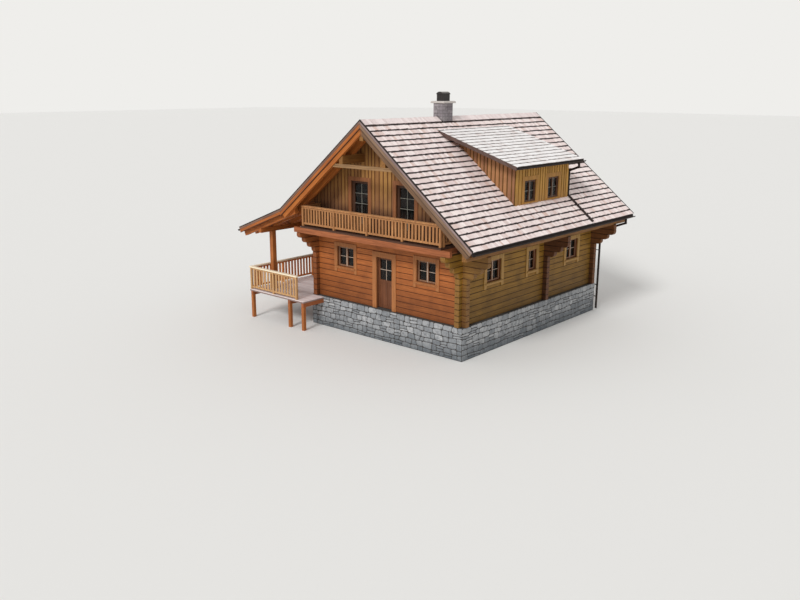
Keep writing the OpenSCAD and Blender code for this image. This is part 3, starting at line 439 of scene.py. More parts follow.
def timber(name, light, dark, axis, lit_top=None, roughness=0.62, depth=GRAIN_DEPTH, porch=None):
    """Planed timber in its oil, whose grain runs along one axis.

    What looks up may get a painted highlight. What stands past the left wall may have its own pair of tones.
    """
    material, tree, shader = start_material(name, roughness)
    if porch:
        outside = add(tree, "Math", (object_xyz(tree)[0], -HALF_W), operation="LESS_THAN")
        light, dark = (coats(tree, own, (outside, other)) for own, other in zip((light, dark), porch))
    streaks = grain(tree, axis)
    colour = streaked(tree, streaks, (light, dark))[0]
    stained = add(tree, "MapRange", (specks(tree, STAIN_SIZE, 2.0), 0.4, 0.75, 0.0, 0.45))
    colour = coats(tree, colour, (stained, dark))
    # A painted highlight on the faces that look up
    if lit_top:
        painted_highlight = add(tree, "Math", (facing_up(tree), 0.8), operation="MULTIPLY")
        colour = coats(tree, colour, (painted_highlight, lit_top))
    surface(tree, shader, colour, streaks, depth)
    return material


print("relief of the grain", GRAIN_DEPTH * 1000, "mm")

# %% [markdown]
# Each timber gets its two tones and the axis that it runs along, so that the streaks follow it. A pattern
# that asks each piece for its longest side could find that axis, but a node can hold timbers of several
# lengths.

# %% Timbers
# Outside, the oil decides the tone
dress(timber("spruce_porch_rafters_orange_oil", "#B96A2C", "#8C4A1C", 0), "porch_rafters")
dress(timber("spruce_tie_beam_tan", "#A07C54", "#745639", 0), "tie_beams")
dress(timber("spruce_purlins_oiled", "#A0703A", "#6E4820", 1, porch=("#B86C30", "#84471D")), "purlins")
dress(timber("spruce_posts_orange_oil", "#BC7238", "#8C4E24", 2), "porch_posts", "terrace_posts")
dress(timber("balcony_beam_orange_oil", "#B26A40", "#804828", 0),
      "balcony_beam", "balcony_joists", "terrace_beams")
# The rails' tops take a painted highlight
dress(timber("balcony_rails_tan_oil", "#C68E5A", "#8A5A34", 2, "#C09066"),
      "balcony_rail_front", "balcony_rail_sides")
dress(timber("door_stained_brown", "#7C4C30", "#57321E", 2), "door_leaf")
# Under the outer boards the wood is painted dark, as shade in the gaps
dress(timber("gable_under_boards_painted_shade", "#6A4024", "#4A2A16", 2), "knee_walls")
dress(timber("dormer_under_boards_painted_shade", "#73501E", "#513612", 2), "dormer_front", "dormer_cheeks")
dress(timber("deck_boards_weathered", "#A08A84", "#7A6661", 1), "terrace_deck")
# The balcony floor is painted dark, as shade seen between the balusters
dress(timber("balcony_floor_painted_shade", "#5E3C2A", "#422818", 1), "balcony_floor")
# Indoors the boards are planed and unstained
dress(timber("planed_floor_boards", "#B98E5E", "#8F6A42", 1), "ground_floor", "loft_floor")
print("timbers finished")

# %% [markdown]
# ## Terrace rails
#
# The terrace rails stand in the sun. The front run has paled; the long side run is painted orange, as
# sunlight on it, and the handrail on top of both is painted cream, as a highlight. The rails are one node, so
# three materials would need it cut up. One material that asks where a point lies tells the runs apart without
# that.

# %% Terrace rails
HANDRAIL_T = 0.06
CORNER_POST = 0.13


def terrace_rail_finish(name, front, side, lit_top):
    """Front and side are pairs of tones. The side's is painted sunlight, and the top's is a painted
    highlight.
    """
    material, tree, shader = start_material(name, 0.62)
    lowest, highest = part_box("terrace_rails")
    x, y, z = object_xyz(tree)
    streaks = grain(tree, 2)
    front, side = streaked(tree, streaks, front, side)
    # The side run's orange is painted sunlight
    at_left = add(tree, "Math", (x, lowest.x + CORNER_POST), operation="LESS_THAN")
    behind_corner = add(tree, "Math", (y, lowest.y + CORNER_POST), operation="GREATER_THAN")
    on_side = add(tree, "Math", (at_left, behind_corner), operation="MULTIPLY")
    # The handrail's cream top is a painted highlight
    on_handrail = add(tree, "Math", (z, highest.z - HANDRAIL_T), operation="GREATER_THAN")
    painted_highlight = add(tree, "Math", (on_handrail, 0.85), operation="MULTIPLY")
    surface(tree, shader, coats(tree, front, (on_side, side), (painted_highlight, lit_top)), streaks, GRAIN_DEPTH)
    return material


dress(terrace_rail_finish("terrace_rails_painted_sunlight", ("#D6AA78", "#A0774A"), ("#F0A05E", "#C46E38"), "#FCEED2"),
      "terrace_rails")
print("terrace rails finished")

# %% [markdown]
# ## Verge timbers
#
# The timbers of the verge lie in the slope, so their grain has to be turned with the roof. Each slope could
# have a material with its own angle. Here the places are turned before the grain is drawn, by the pitch of
# the slope that they lie in, and one material serves all slopes. On the right, where the weather comes from,
# rafters and barge boards have greyed to mauve and tan, and the rafters' darker tone is also painted shade.
# On the left only the barge board's upper strip has greyed, and below it the board and the rafters show their
# orange oil, brightened as painted sunlight. The dormer's narrow barge boards are stained dark.

# %% Places on the slopes
ROOF_PITCH = math.radians(38.8)
KICK_PITCH = math.radians(21.3)
KICK_X = -low("roof_left").x
KICK_Z = high("roof_kick").z


def place_on_slopes(tree, x, y, z):
    """Places turned with the roof: X down the slope, Y back, and Z out of it from the roof's top face."""
    folded = add(tree, "CombineXYZ", (add(tree, "Math", (x,), operation="ABSOLUTE"), y, z))
    main_out = RIDGE_Z * math.cos(ROOF_PITCH)
    kick_out = KICK_X * math.sin(KICK_PITCH) + KICK_Z * math.cos(KICK_PITCH)
    slopes = [add(tree, "Mapping", {"Vector": folded, "Rotation": (0, -pitch, 0), "Location": (0, 0, -out)})
              for pitch, out in ((ROOF_PITCH, main_out), (KICK_PITCH, kick_out))]
    past_kink = add(tree, "Math", (x, -KICK_X), operation="LESS_THAN")
    return add(tree, "Mix", (past_kink, *slopes), data_type="VECTOR")


print("slopes", round(math.degrees(ROOF_PITCH), 1), "and", round(math.degrees(KICK_PITCH), 1), "degrees")

# %% [markdown]
# A barge board is two planks, one over the other, with a dark seam between them. They could be cut apart as
# meshes, but they lie flush, and depth below the roof's top face already says which plank a point is on.

# %% Rafters and barge boards
ROOF_Y0, ROOF_Y1 = low("roof_left").y, high("roof_left").y
SEAM = 0.016
GREYED = 0.095
FOOT_SHADE = (0.222, 0.205)
RIDGE_BLEND = 0.1
DORMER_REACH = 4.0
OILED_SUNLIT_BOARD = ("#B5692E", "#884720")
LOWER_BOARD = ("#92765F", "#6E5544")
DORMER_STAIN = ("#6E5850", "#493733")


def barge_coats(tree, turned, y, right_of_ridge, streaks):
    """A barge board's lower strip, the seam over it, its dark top, painted shade at its foot, and the stain
    of the dormer's.
    """
    depth = add(tree, "SeparateXYZ", (turned,)).outputs[2]
    oiled_sunlit, greyed, stained = streaked(tree, streaks, OILED_SUNLIT_BOARD, LOWER_BOARD, DORMER_STAIN)
    # Below the seam: orange with painted sunlight on the left, greyed on the right
    lower = add(tree, "MapRange", (depth, -GREYED - SEAM / 2, -GREYED + SEAM / 2, 1.0, 0.0))
    at_seam = add(tree, "Math", (depth, -GREYED, SEAM / 3), operation="COMPARE")
    seam = add(tree, "Math", (at_seam, 0.8), operation="MULTIPLY")
    top = add(tree, "MapRange", (depth, -SEAM, -SEAM / 2))
    # Painted shade along the board's foot
    foot = add(tree, "MapRange", (depth, -FOOT_SHADE[0], -FOOT_SHADE[1], 0.85, 0.0))
    on_dormer = add(tree, "Math", (y, (ROOF_Y0 + ROOF_Y1) / 2, DORMER_REACH), operation="COMPARE")
    return ((lower, coats(tree, oiled_sunlit, (right_of_ridge, greyed))), (seam, "#2E201A"), (top, "#241A18"),
            (foot, "#2E1C14"), (on_dormer, stained))


def verge_finish(name, right, left, barge=False):
    """Timber that follows the slopes. Right and left are pairs of tones."""
    material, tree, shader = start_material(name, 0.66)
    x, y, z = object_xyz(tree)
    turned = place_on_slopes(tree, x, y, z)
    streaks = specks(tree, (GRAIN_ALONG, GRAIN_ACROSS, GRAIN_ACROSS), 4.0, 0.6, turned)
    # Right of the ridge the rafters are greyed and painted in shade; left of it they are orange with painted
    # sunlight
    right_of_ridge = add(tree, "MapRange", (x, -RIDGE_BLEND, RIDGE_BLEND))
    left, right = streaked(tree, streaks, left, right)
    colour = coats(tree, left, (right_of_ridge, right))
    if barge:
        colour = coats(tree, colour, *barge_coats(tree, turned, y, right_of_ridge, streaks))
    surface(tree, shader, colour, streaks, GRAIN_DEPTH)
    return material


dress(verge_finish("rafters_sunlit_orange_and_weathered_shaded", ("#83644A", "#5C4330"), ("#BE702E", "#924E20")), "rafters")
dress(verge_finish("barge_boards_weathered_and_sunlit", ("#A28D88", "#766260"), ("#8C6A58", "#5E4338"), True),
      "barge_boards")
print("verge timbers finished")

# %% [markdown]
# ## Window frames
#
# The frames of a storey are one node: the trim boards on the wall catch the light, the reveal lies in shade,
# and the fronts of the casements have a tone of their own. Faces could be sorted into material slots, which a
# frame that is made again would undo. The depth behind the wall tells them apart as well: further in than the
# wall's face is reveal, and at the casement's depth is its front.

# %% Depths in the walls
LOFT_Z = high("loft_floor").z
DORMER_X = high("dormer_front").x
TRIM_T = 0.03
DORMER_REVEAL_FROM = 0.012


def depth_in_walls(tree, x, y):
    """How far a place lies behind the outer faces of the log walls."""
    depths = []
    for part, middle_at, half in ((x, 0.0, HALF_W), (y, HOUSE_L / 2, HOUSE_L / 2)):
        off = add(tree, "Math", (part, middle_at), operation="SUBTRACT")
        off = add(tree, "Math", (off,), operation="ABSOLUTE")
        depths.append(add(tree, "Math", (half, off), operation="SUBTRACT"))
    return add(tree, "Math", depths, operation="MINIMUM")


def dormer_reveal(tree, x, z):
    """1 in the reveals of the dormer's windows, which stand outside the log wall and above the loft floor."""
    outside = add(tree, "Math", (x, HALF_W + TRIM_T), operation="GREATER_THAN")
    sunk = add(tree, "Math", (x, DORMER_X - DORMER_REVEAL_FROM), operation="LESS_THAN")
    aloft = add(tree, "Math", (z, LOFT_Z), operation="GREATER_THAN")
    sunk_outside = add(tree, "Math", (outside, sunk), operation="MULTIPLY")
    return add(tree, "Math", (sunk_outside, aloft), operation="MULTIPLY")


print("loft floor", round(LOFT_Z, 3), "dormer front", round(DORMER_X, 3))

# %% [markdown]
# The lower frames are oiled a light orange and the upper ones a darker brown. Each storey has a pair of tones
# for its trim, one more for the trim on the right wall, which is painted shade, and one each for reveals,
# painted shade as well, and casements.

# %% Window frames
SASH_DEPTH, DORMER_SASH_DEPTH = 0.080, 0.020
SASH_REACH = 0.003
REVEAL_FROM = 0.02
FRAME_REACH = 0.1


def frame_finish(name, front, side, reveal, casement):
    """Pairs of tones: trim, trim on the right wall, reveals, and the casements' fronts. The second and third
    are painted shade.
    """
    material, tree, shader = start_material(name, 0.6)
    x, y, z = object_xyz(tree)
    depth = depth_in_walls(tree, x, y)
    in_wall = add(tree, "Math", (depth, REVEAL_FROM), operation="GREATER_THAN")
    inside = add(tree, "Math", (in_wall, dormer_reveal(tree, x, z)), operation="MAXIMUM")
    at_sash = add(tree, "Math", (depth, SASH_DEPTH, SASH_REACH), operation="COMPARE")
    at_dormer_sash = add(tree, "Math", (x, DORMER_X - DORMER_SASH_DEPTH, SASH_REACH), operation="COMPARE")
    on_sash = add(tree, "Math", (at_sash, at_dormer_sash), operation="MAXIMUM")
    on_right = add(tree, "Math", (x, HALF_W - FRAME_REACH), operation="GREATER_THAN")
    streaks = grain(tree, 2)
    front, side, reveal, casement = streaked(tree, streaks, front, side, reveal, casement)
    # The trim on the right wall and the reveals take painted shade
    colour = coats(tree, front, (on_right, side), (inside, reveal), (on_sash, casement))
    surface(tree, shader, colour, streaks, GRAIN_DEPTH)
    return material


dress(frame_finish("lower_trim_orange_oil_and_painted_shade", ("#BA7A48", "#8C542C"), ("#BC9456", "#906A36"),
                   ("#8A5230", "#5C3620"), ("#9E7A60", "#785842")), "lower_window_frames", "door_frame")
dress(frame_finish("upper_trim_brown_oil_and_painted_shade", ("#A56A42", "#784A2C"), ("#C08C44", "#8E6228"),
                   ("#76503C", "#543828"), ("#5E4030", "#42291C")), "upper_window_frames")
print("window frames finished")

# %% [markdown]
# ## Metal and glass
#
# Gutters, pipes and flashing are folded steel sheet with a dark baked paint, which is dull and even but for
# dust. Paint hides the metal, so it is drawn as paint and not as metal. Rain draws soot down the cowl's sheet
# in streaks, so the function that draws grain draws it too, with a painted highlight on the cowl's top. The
# panes are float glass. Glass could be drawn by refraction, which is slow and shows empty rooms: the rooms
# behind real panes are dark, so dark, half clear panes with a soft reflection look nearer.

# %% Sheet metal, iron and glass
DUST = "#3E322D"
DUST_SIZE = 0.25
SOOT_DEPTH = 0.002
HAZE_SIZE = (0.625, 0.625, 1 / 2.4)


def painted_sheet(name, colour, roughness):
    """Baked paint on folded sheet: one dark tone, dulled by dust in patches."""
    material, tree, shader = start_material(name, roughness)
    dusty = add(tree, "MapRange", (specks(tree, DUST_SIZE, 4.0), 0.4, 0.8, 0.0, 0.5))
    connect(tree, shader, {"Base Color": coats(tree, colour, (dusty, DUST))})
    return material


def sooty_sheet():
    """Bare sheet with a painted highlight on its top. Rain draws soot down it in streaks, much as grain runs
    down a board.
    """
    # The pale top is a painted highlight
    return timber("cowl_sheet_sooty_lit_top", "#3A3534", "#221E1D", 2, "#8E8984", 0.5, SOOT_DEPTH)


def window_pane():
    """Glass seen by day from outside: dark, half clear, faintly uneven and with a soft reflection."""
    material, tree, shader = start_material("float_glass_dark_room", 0.05)
    hazy = add(tree, "MapRange", (specks(tree, HAZE_SIZE, 2.0), 0.35, 0.7))
    connect(tree, shader, {"Base Color": coats(tree, "#0F1312", (hazy, "#2E2622"))})
    shader.inputs["Alpha"].default_value = 0.72
    shader.inputs["IOR"].default_value = 1.45
    shader.inputs["Specular IOR Level"].default_value = 0.2
    return material


IRON = painted_sheet("forged_iron_black", "#201D1B", 0.5)
dress(painted_sheet("dark_baked_sheet", "#241A16", 0.7), "gutters", "downpipes", "chimney_flashing")
dress(sooty_sheet(), "chimney_cowl")
dress(IRON, "door_handle")
dress(window_pane(), "lower_window_glass", "upper_window_glass", "door_glass")
print("metal and glass finished")

# %% [markdown]
# ## Mortar
#
# The plinth and the chimney of the frame are plain masses. The stones on them could be drawn by a pattern
# in the material, but their edges wouldn't stand out. So the masses become the mortar bed, dark and gritty,
# and real stones are laid on them further down. The chimney's cap is cast concrete, the same mix with a
# smoother, paler face.

# %% Mortar and concrete
GRIT_SIZE = 1 / 30
GRIT_DEPTH = 0.01


def mortar(name, light, dark):
    """Lime and sand: without sheen, and gritty to the eye."""
    material, tree, shader = start_material(name, 0.95)
    grit = specks(tree, GRIT_SIZE, 5.0)
    gritty = add(tree, "MapRange", (grit, 0.35, 0.7))
    surface(tree, shader, coats(tree, light, (gritty, dark)), grit, GRIT_DEPTH)
    return material


dress(mortar("plinth_mortar_shadowed", "#55524F", "#383533"), "stone_plinth")
dress(mortar("chimney_mortar", "#6A6466", "#55504F"), "chimney_stack")
dress(mortar("cast_cap_concrete", "#CFC8C2", "#A9A19B"), "chimney_cap")
print("grit", round(GRIT_SIZE * 1000), "mm")

# %% [markdown]
# ## Roof boards under the shakes
#
# From below, the roof is seen as planed boards between the rafters. From above, the boards are covered by
# shakes, and only the dark line of the drip edge shows at the verge. The boards could be laid one by one as
# the shakes are. They lie in shade behind the rafters, so a dark line every 140 mm in the material is
# enough.

# %% Underside of the roof
SOFFIT_BOARD = 0.14


def roof_boards():
    """Planed boards below, and a plain dark drip edge on all other faces."""
    material, tree, shader = start_material("roof_boards_and_drip_edge", 0.7)
    counted = add(tree, "Math", (object_xyz(tree)[0], SOFFIT_BOARD), operation="DIVIDE")
    on_board = add(tree, "Math", (counted,), operation="FRACT")
    to_next = add(tree, "Math", (1.0, on_board), operation="SUBTRACT")
    edge = add(tree, "Math", (on_board, to_next), operation="MINIMUM")
    gap = add(tree, "MapRange", (edge, 0.02, 0.06, 1.0, 0.0))
    worn = add(tree, "MapRange", (grain(tree, 1), 0.35, 0.7))
    wood = coats(tree, "#A9713F", (worn, "#7F4E28"), (gap, "#3B2214"))
    below = add(tree, "MapRange", (normal_xyz(tree)[2], -0.5, -0.3, 1.0, 0.0))
    connect(tree, shader, {"Base Color": coats(tree, "#2E2826", (below, wood))})
    return material


dress(roof_boards(), "roof_right", "roof_left", "roof_kick", "dormer_roof", "ridge_cap")
print("soffit boards", round(SOFFIT_BOARD * 1000), "mm wide")

# %% [markdown]
# ## Working by hand in edit mode
#
# Every small piece below starts as one shape, modelled once the way a carpenter would make the first one as
# a pattern: a block is added at its real size, its faces or edges are picked by their place, and it is
# bevelled, inset or tapered. A list of points could give the same shape, but the operators say how it is
# made. The pattern is then copied to its places.

# %% Picking and shaping
def block(name, lower, upper):
    """A box between two corners, alone in the selection, with its origin at the world's."""
    bpy.ops.object.select_all(action="DESELECT")
    lower, upper = Vector(lower), Vector(upper)
    bpy.ops.mesh.primitive_cube_add(size=1, location=(lower + upper) / 2, scale=upper - lower)
    piece = bpy.context.object
    piece.name = name
    bpy.ops.object.transform_apply()
    return piece


def middle(piece, part):
    """The middle of a face or an edge."""
    points = [piece.data.vertices[i].co for i in part.vertices]
    return sum(points, Vector()) / len(points)


def pick(piece, kind, wanted):
    """Goes into edit mode with only the wanted faces, edges or points selected."""
    bpy.ops.object.select_all(action="DESELECT")
    piece.select_set(True)
    bpy.context.view_layer.objects.active = piece
    bpy.ops.object.mode_set(mode="EDIT")
    bpy.ops.mesh.select_mode(type=kind)
    bpy.ops.mesh.select_all(action="DESELECT")
    bpy.ops.object.mode_set(mode="OBJECT")
    parts = {"FACE": piece.data.polygons, "EDGE": piece.data.edges, "VERT": piece.data.vertices}[kind]
    for part in parts:
        part.select = bool(wanted(part))
    bpy.ops.object.mode_set(mode="EDIT")


def done():
    """Leaves edit mode."""
    bpy.ops.object.mode_set(mode="OBJECT")


print("faces, edges and points can be picked")

# %% [markdown]
# Those calls could follow each piece by hand. In one function none of them is forgotten.

# %% Finishing a piece
HOUSE = "house"


def finish(piece, material, body=HOUSE, replaces=()):
    """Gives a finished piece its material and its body."""
    piece.data.materials.clear()
    piece.data.materials.append(material)
    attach(piece, body)
    if replaces:
        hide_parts(*replaces)
    print(piece.name, len(piece.data.polygons), "faces")


print("new pieces ride on", HOUSE)

# %% [markdown]
# ## Laying copies
#
# A place is a matrix and a tone. Copies could be objects of their own, or an array modifier could repeat
# the pattern evenly. Here all copies of a pattern go into one joined mesh, each with its own points, so
# that no two need be of the same width, and thousands cost no more than one object. The tone is kept on the
# faces, so that the material can stain each board, shake or block a little differently.

# %% Joining copies
def put_tones(mesh, tones):
    """Keeps a tone for each face."""
    mesh.attributes.new("tone", "FLOAT", "FACE").data.foreach_set("value", tones)


def joined(name, pattern, places):
    """One piece made of all copies of a pattern. The pattern goes."""
    shape = pattern.data
    points = [v.co.copy() for v in shape.vertices]
    faces = [tuple(p.vertices) for p in shape.polygons]
    flat = [loop.uv.copy() for loop in shape.uv_layers.active.data] if shape.uv_layers.active else []
    mesh = bpy.data.meshes.new(name)
    mesh.from_pydata([place @ point for place, _ in places for point in points], [],
                     [tuple(i + k * len(points) for i in face) for k in range(len(places)) for face in faces])
    put_tones(mesh, [tone for _, tone in places for _ in faces])
    if flat:
        layer = mesh.uv_layers.new(name="shape")
        layer.data.foreach_set("uv", [c for _ in places for uv in flat for c in uv])
    piece = bpy.data.objects.new(name, mesh)
    bpy.context.collection.objects.link(piece)
    bpy.data.objects.remove(pattern)
    return piece


def axes(origin, across, along, out, scale=(1, 1, 1)):
    """A matrix that lays a pattern's X across, its Y along and its Z outwards."""
    columns = [Vector(across) * scale[0], Vector(along) * scale[1], Vector(out) * scale[2], Vector(origin)]
    return Matrix([[c[i] for c in columns] for i in range(3)] + [[0, 0, 0, 1]])


print("copies can be joined")

# %% [markdown]
# Shakes, boards and stones differ in width and still fill their course from end to end. Widths drawn one
# after the other would leave an odd strip at the end, so all are drawn first and then stretched together to
# the length. Each piece draws from its own seeded numbers, so the house comes out the same on every run.

# %% Filling a length
def fill(rng, a, b, mean, spread):
    """Stretches of random widths that fill a to b exactly."""
    parts = [rng.uniform(1 - spread, 1 + spread) for _ in range(max(1, round((b - a) / mean)))]
    edge = a
    for part in parts:
        yield edge, edge + part * (b - a) / sum(parts)
        edge += part * (b - a) / sum(parts)


def free_stretches(a, b, covered):
    """What is left of a to b beside the covered stretches."""
    for start, end in sorted(covered):
        if end > a and start < b:
            if start > a:
                yield a, start
            a = max(a, end)
    if b > a:
        yield a, b


print("ten boards of about 1 fill", [round(b, 1) for _, b in fill(random.Random(1), 0, 10, 1, 0.2)])

# %% [markdown]
# ## Shakes
#
# The roof is covered with riven larch shakes, about 150 mm wide, of which 296 mm shows in each course. A
# shake is split from a block with a froe, so it is a wedge with a hollow face. A roof of plain strips with
# drawn gaps would do from afar, but its courses would be ruler straight. So each shake is a wedge of its
# own, a little wider, lower or higher than its neighbours. The block is split along its middle, its head is
# pressed down to a thin edge, and the middle of its face is sunk.

# %% One shake
NEAR = 1e-4
SHAKE_W = 0.15
SHAKE_L = 0.38
SHAKE_T = 0.030
SHAKE_HEAD = 0.007
SHAKE_HOLLOW = 0.004
SHOWING = 0.296


def shake_pattern():
    piece = block("shake", (0, 0, 0), (SHAKE_W, SHAKE_L, SHAKE_T))
    pick(piece, "EDGE", lambda e: abs(middle(piece, e).x - SHAKE_W / 2) < NEAR)
    bpy.ops.mesh.subdivide(number_cuts=1)
    done()
    pick(piece, "VERT", lambda v: v.co.z > SHAKE_T / 2 and v.co.y > SHAKE_L / 2)
    bpy.ops.transform.translate(value=(0, 0, SHAKE_HEAD - SHAKE_T))
    done()
    pick(piece, "VERT", lambda v: v.co.z > SHAKE_HEAD / 2 and abs(v.co.x - SHAKE_W / 2) < NEAR)
    bpy.ops.transform.translate(value=(0, 0, -SHAKE_HOLLOW))
    done()
    layer = piece.data.uv_layers.active or piece.data.uv_layers.new(name="shape")
    for loop in piece.data.loops:
        point = piece.data.vertices[loop.vertex_index].co
        layer.data[loop.index].uv = (point.x / SHAKE_W, point.y / SHOWING)
    return piece


print("shakes to a square metre", round(1 / (SHAKE_W * SHOWING)))

# %% [markdown]
# Shakes are nailed in courses that lap, so that rain never finds a way through. An array modifier could
# repeat one shake up and along the slope, but every joint would line up. A loop over the courses and the
# widths within each one lets every shake slip, lift and vary a little, and leaves out what stands in the
# roof.

# %% Courses of shakes
EAVE_X = high("roof_right").x
BUTT_OUT = 0.03
SHAKE_SPREAD = 0.35
SLIP, EAVE_SLIP = 0.015, 0.004
LIFT = (0.001, 0.004)
SHAKE_GAP = (0.004, 0.012)
THICKER = (0.85, 1.1)


def slope_axes(side, pitch):
    """Directions on a slope that falls to the right (1) or to the left (-1): across, upwards and outwards."""
    return (Vector((0, side, 0)), Vector((-side * math.cos(pitch), 0, math.sin(pitch))),
            Vector((side * math.sin(pitch), 0, math.cos(pitch))))


def lay_shakes(name, seed, side, pitch, foot, reach, covered=None, ends=(ROOF_Y0, ROOF_Y1), lap=0.0):
    """Courses of shakes from the foot of a slope upwards, over its reach along X and a lap past it.

    covered(x) gives the stretches of Y that have no shakes there.
    """
    rng = random.Random(seed)
    across, up, out = slope_axes(side, pitch)
    foot = Vector((foot[0], 0, foot[1]))
    run = reach / math.cos(pitch) + lap
    places = []
    for course in range(math.ceil((run + BUTT_OUT) / SHOWING)):
        butt = course * SHOWING - BUTT_OUT
        length = min(SHAKE_L, run - butt)
        most = SLIP if course else EAVE_SLIP
        x = (foot + up * (butt + length / 2)).x
        for a, b in free_stretches(*ends, covered(x) if covered else ()):
            for left, right in fill(rng, a, b, SHAKE_W, SHAKE_SPREAD):
                slip = rng.uniform(-most, most)
                start = foot + up * (butt + slip) + out * rng.uniform(*LIFT)
                start.y = left if side > 0 else right
                width = right - left - rng.uniform(*SHAKE_GAP)
                scale = (width / SHAKE_W, (length - slip) / SHAKE_L, rng.uniform(*THICKER))
                places.append((axes(start, across, up, out, scale), rng.random()))
    return joined(name, shake_pattern(), places)


print("courses on the right slope", math.ceil((EAVE_X / math.cos(ROOF_PITCH) + BUTT_OUT) / SHOWING))

# %% [markdown]
# Riven larch that isn't oiled silvers in the weather to a pinkish grey, dull all over. Under the butt of the
# next course it is darker, where dirt and damp collect, and that dark band and the butt's own edge are also
# painted shade from the butt. Noise could place the dark, but it wouldn't know the courses. The shake's own
# UV map does: V is 0 at the butt and 1 where the next course begins. The dark band ends at another height on
# each shake, so the courses are parted by ragged dark lines. The tone picks one of three greys, and fine
# splits run along the shake, 70 to the metre.

# %% Weathered shakes
RAGGED, SPLIT_RAGGED = 0.07, 0.06
SPLIT_SIZE = (0.25, 1 / 70, 0.25)
SPLIT_DEPTH = 0.006
PATCH_SIZE = 1 / 1.2
DARK_BLEND = 0.05
BUTT_DIRT_AND_SHADE = 0.04


def shake_finish(name, pale, mid, warm, dirt_and_shade, dark_share):
    """Weathered shakes. The dark share is the part of the showing length that is dark under the next course;
    that dark is partly real and partly painted shade.
    """
    material, tree, shader = start_material(name, 0.88)
    tone = add(tree, "Attribute", attribute_name="tone").outputs["Fac"]
    along = add(tree, "SeparateXYZ", (add(tree, "TexCoord").outputs["UV"],)).outputs[1]
    splits = specks(tree, SPLIT_SIZE, 4.0)
    greyer = add(tree, "MapRange", (tone, 0.0, 0.8))
    warmer = add(tree, "MapRange", (tone, 0.88, 1.0, 0.0, 0.7))
    split = add(tree, "MapRange", (splits, 0.56, 0.72, 0.0, 0.4))
    patchy = add(tree, "MapRange", (specks(tree, PATCH_SIZE), 0.45, 0.75, 0.0, 0.35))
    ragged = add(tree, "Math", (tone, RAGGED, along), operation="MULTIPLY_ADD")
    ragged = add(tree, "Math", (splits, SPLIT_RAGGED, ragged), operation="MULTIPLY_ADD")
    dark_from = 1.0 - dark_share
    # Dirt and painted shade under the next course's butt
    in_dirt_and_shade = add(tree, "MapRange", (ragged, dark_from, dark_from + DARK_BLEND, 0.0, 0.97))
    # Dirt and painted shade along the butt's edge
    at_butt = add(tree, "MapRange", (along, 0.0, BUTT_DIRT_AND_SHADE, 0.9, 0.0))
    colour = coats(tree, pale, (greyer, mid), (warmer, warm), (split, dirt_and_shade), (patchy, mid), (in_dirt_and_shade, dirt_and_shade),
                   (at_butt, dirt_and_shade))
    surface(tree, shader, colour, splits, SPLIT_DEPTH)
    return material


SHAKES = shake_finish("larch_shakes_silvered", "#FDF0EC", "#E8D5D1", "#DFBFB0", "#1E110F", 0.185)
DORMER_SHAKES = shake_finish("larch_shakes_sunlit", "#FDFBFA", "#F2EDEB", "#E0D2CD", "#6A5A57", 0.05)
print("shake finishes ready")

# %% [markdown]
# The shakes are laid from the eave up, as a roofer does, and the first course starts 30 mm out, so that
# rain drips clear of the wood. They leave out the chimney and, on the right, the dormer. A hole could be
# cut into finished courses, but it would slice shakes in two where a roofer fits whole ones.

# %% Shakes on the slopes
LEFT_X = -low("roof_kick").x
DORMER_Y0, DORMER_Y1 = low("dormer_front").y, high("dormer_front").y
DORMER_PITCH = math.radians(17.8)
CHIMNEY_LOW, CHIMNEY_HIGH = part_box("chimney_stack")
DORMER_LOW, DORMER_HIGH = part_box("dormer_roof")
DORMER_FOOT_Z = DORMER_HIGH.z - (DORMER_HIGH.x - DORMER_LOW.x) * math.tan(DORMER_PITCH)
MAIN_FOOT_Z = RIDGE_Z - EAVE_X * math.tan(ROOF_PITCH)
LEFT_FOOT_Z = KICK_Z - (LEFT_X - KICK_X) * math.tan(KICK_PITCH)
CHEEK_X = DORMER_LOW.x + 2 * SHOWING
CHIMNEY_EDGE = 0.02
KINK_LAP = 0.10


def beside_chimney(x):
    inside = CHIMNEY_LOW.x - CHIMNEY_EDGE < x < CHIMNEY_HIGH.x + CHIMNEY_EDGE
    return [(CHIMNEY_LOW.y, CHIMNEY_HIGH.y)] if inside else []


def beside_dormer(x):
    return beside_chimney(x) + ([(DORMER_Y0, DORMER_Y1)] if CHEEK_X < x < DORMER_X else [])


finish(lay_shakes("right_slope_shakes", seed=11, side=1, pitch=ROOF_PITCH, foot=(EAVE_X, MAIN_FOOT_Z),
                  reach=EAVE_X, covered=beside_dormer), SHAKES)
finish(lay_shakes("left_slope_shakes", seed=12, side=-1, pitch=ROOF_PITCH, foot=(-KICK_X, KICK_Z),
                  reach=KICK_X, covered=beside_chimney), SHAKES)
finish(lay_shakes("kick_slope_shakes", seed=13, side=-1, pitch=KICK_PITCH, foot=(-LEFT_X, LEFT_FOOT_Z),
                  reach=LEFT_X - KICK_X, lap=KINK_LAP), SHAKES)
finish(lay_shakes("dormer_shakes", seed=14, side=1, pitch=DORMER_PITCH, foot=(DORMER_HIGH.x, DORMER_FOOT_Z),
                  reach=DORMER_HIGH.x - DORMER_LOW.x, ends=(DORMER_LOW.y, DORMER_HIGH.y)),
       DORMER_SHAKES)

# %% [markdown]
# ## Ridge
#
# The ridge is closed by a last course of long shakes on each side, nailed over the course below. The plain
# ridge boards of the frame could stay and be given the same finish, but the joints between the shakes are
# what shows against the sky. So the shakes take the boards' place.

# %% Ridge shakes
RIDGE_SHAKE_L = 0.33
RIDGE_LIFT = 0.026
RIDGE_SPREAD = 0.3
RIDGE_SLIP = 0.01
RIDGE_GAP = 0.004
RIDGE_THICKER = 0.9
RIDGE_TONE = 0.8


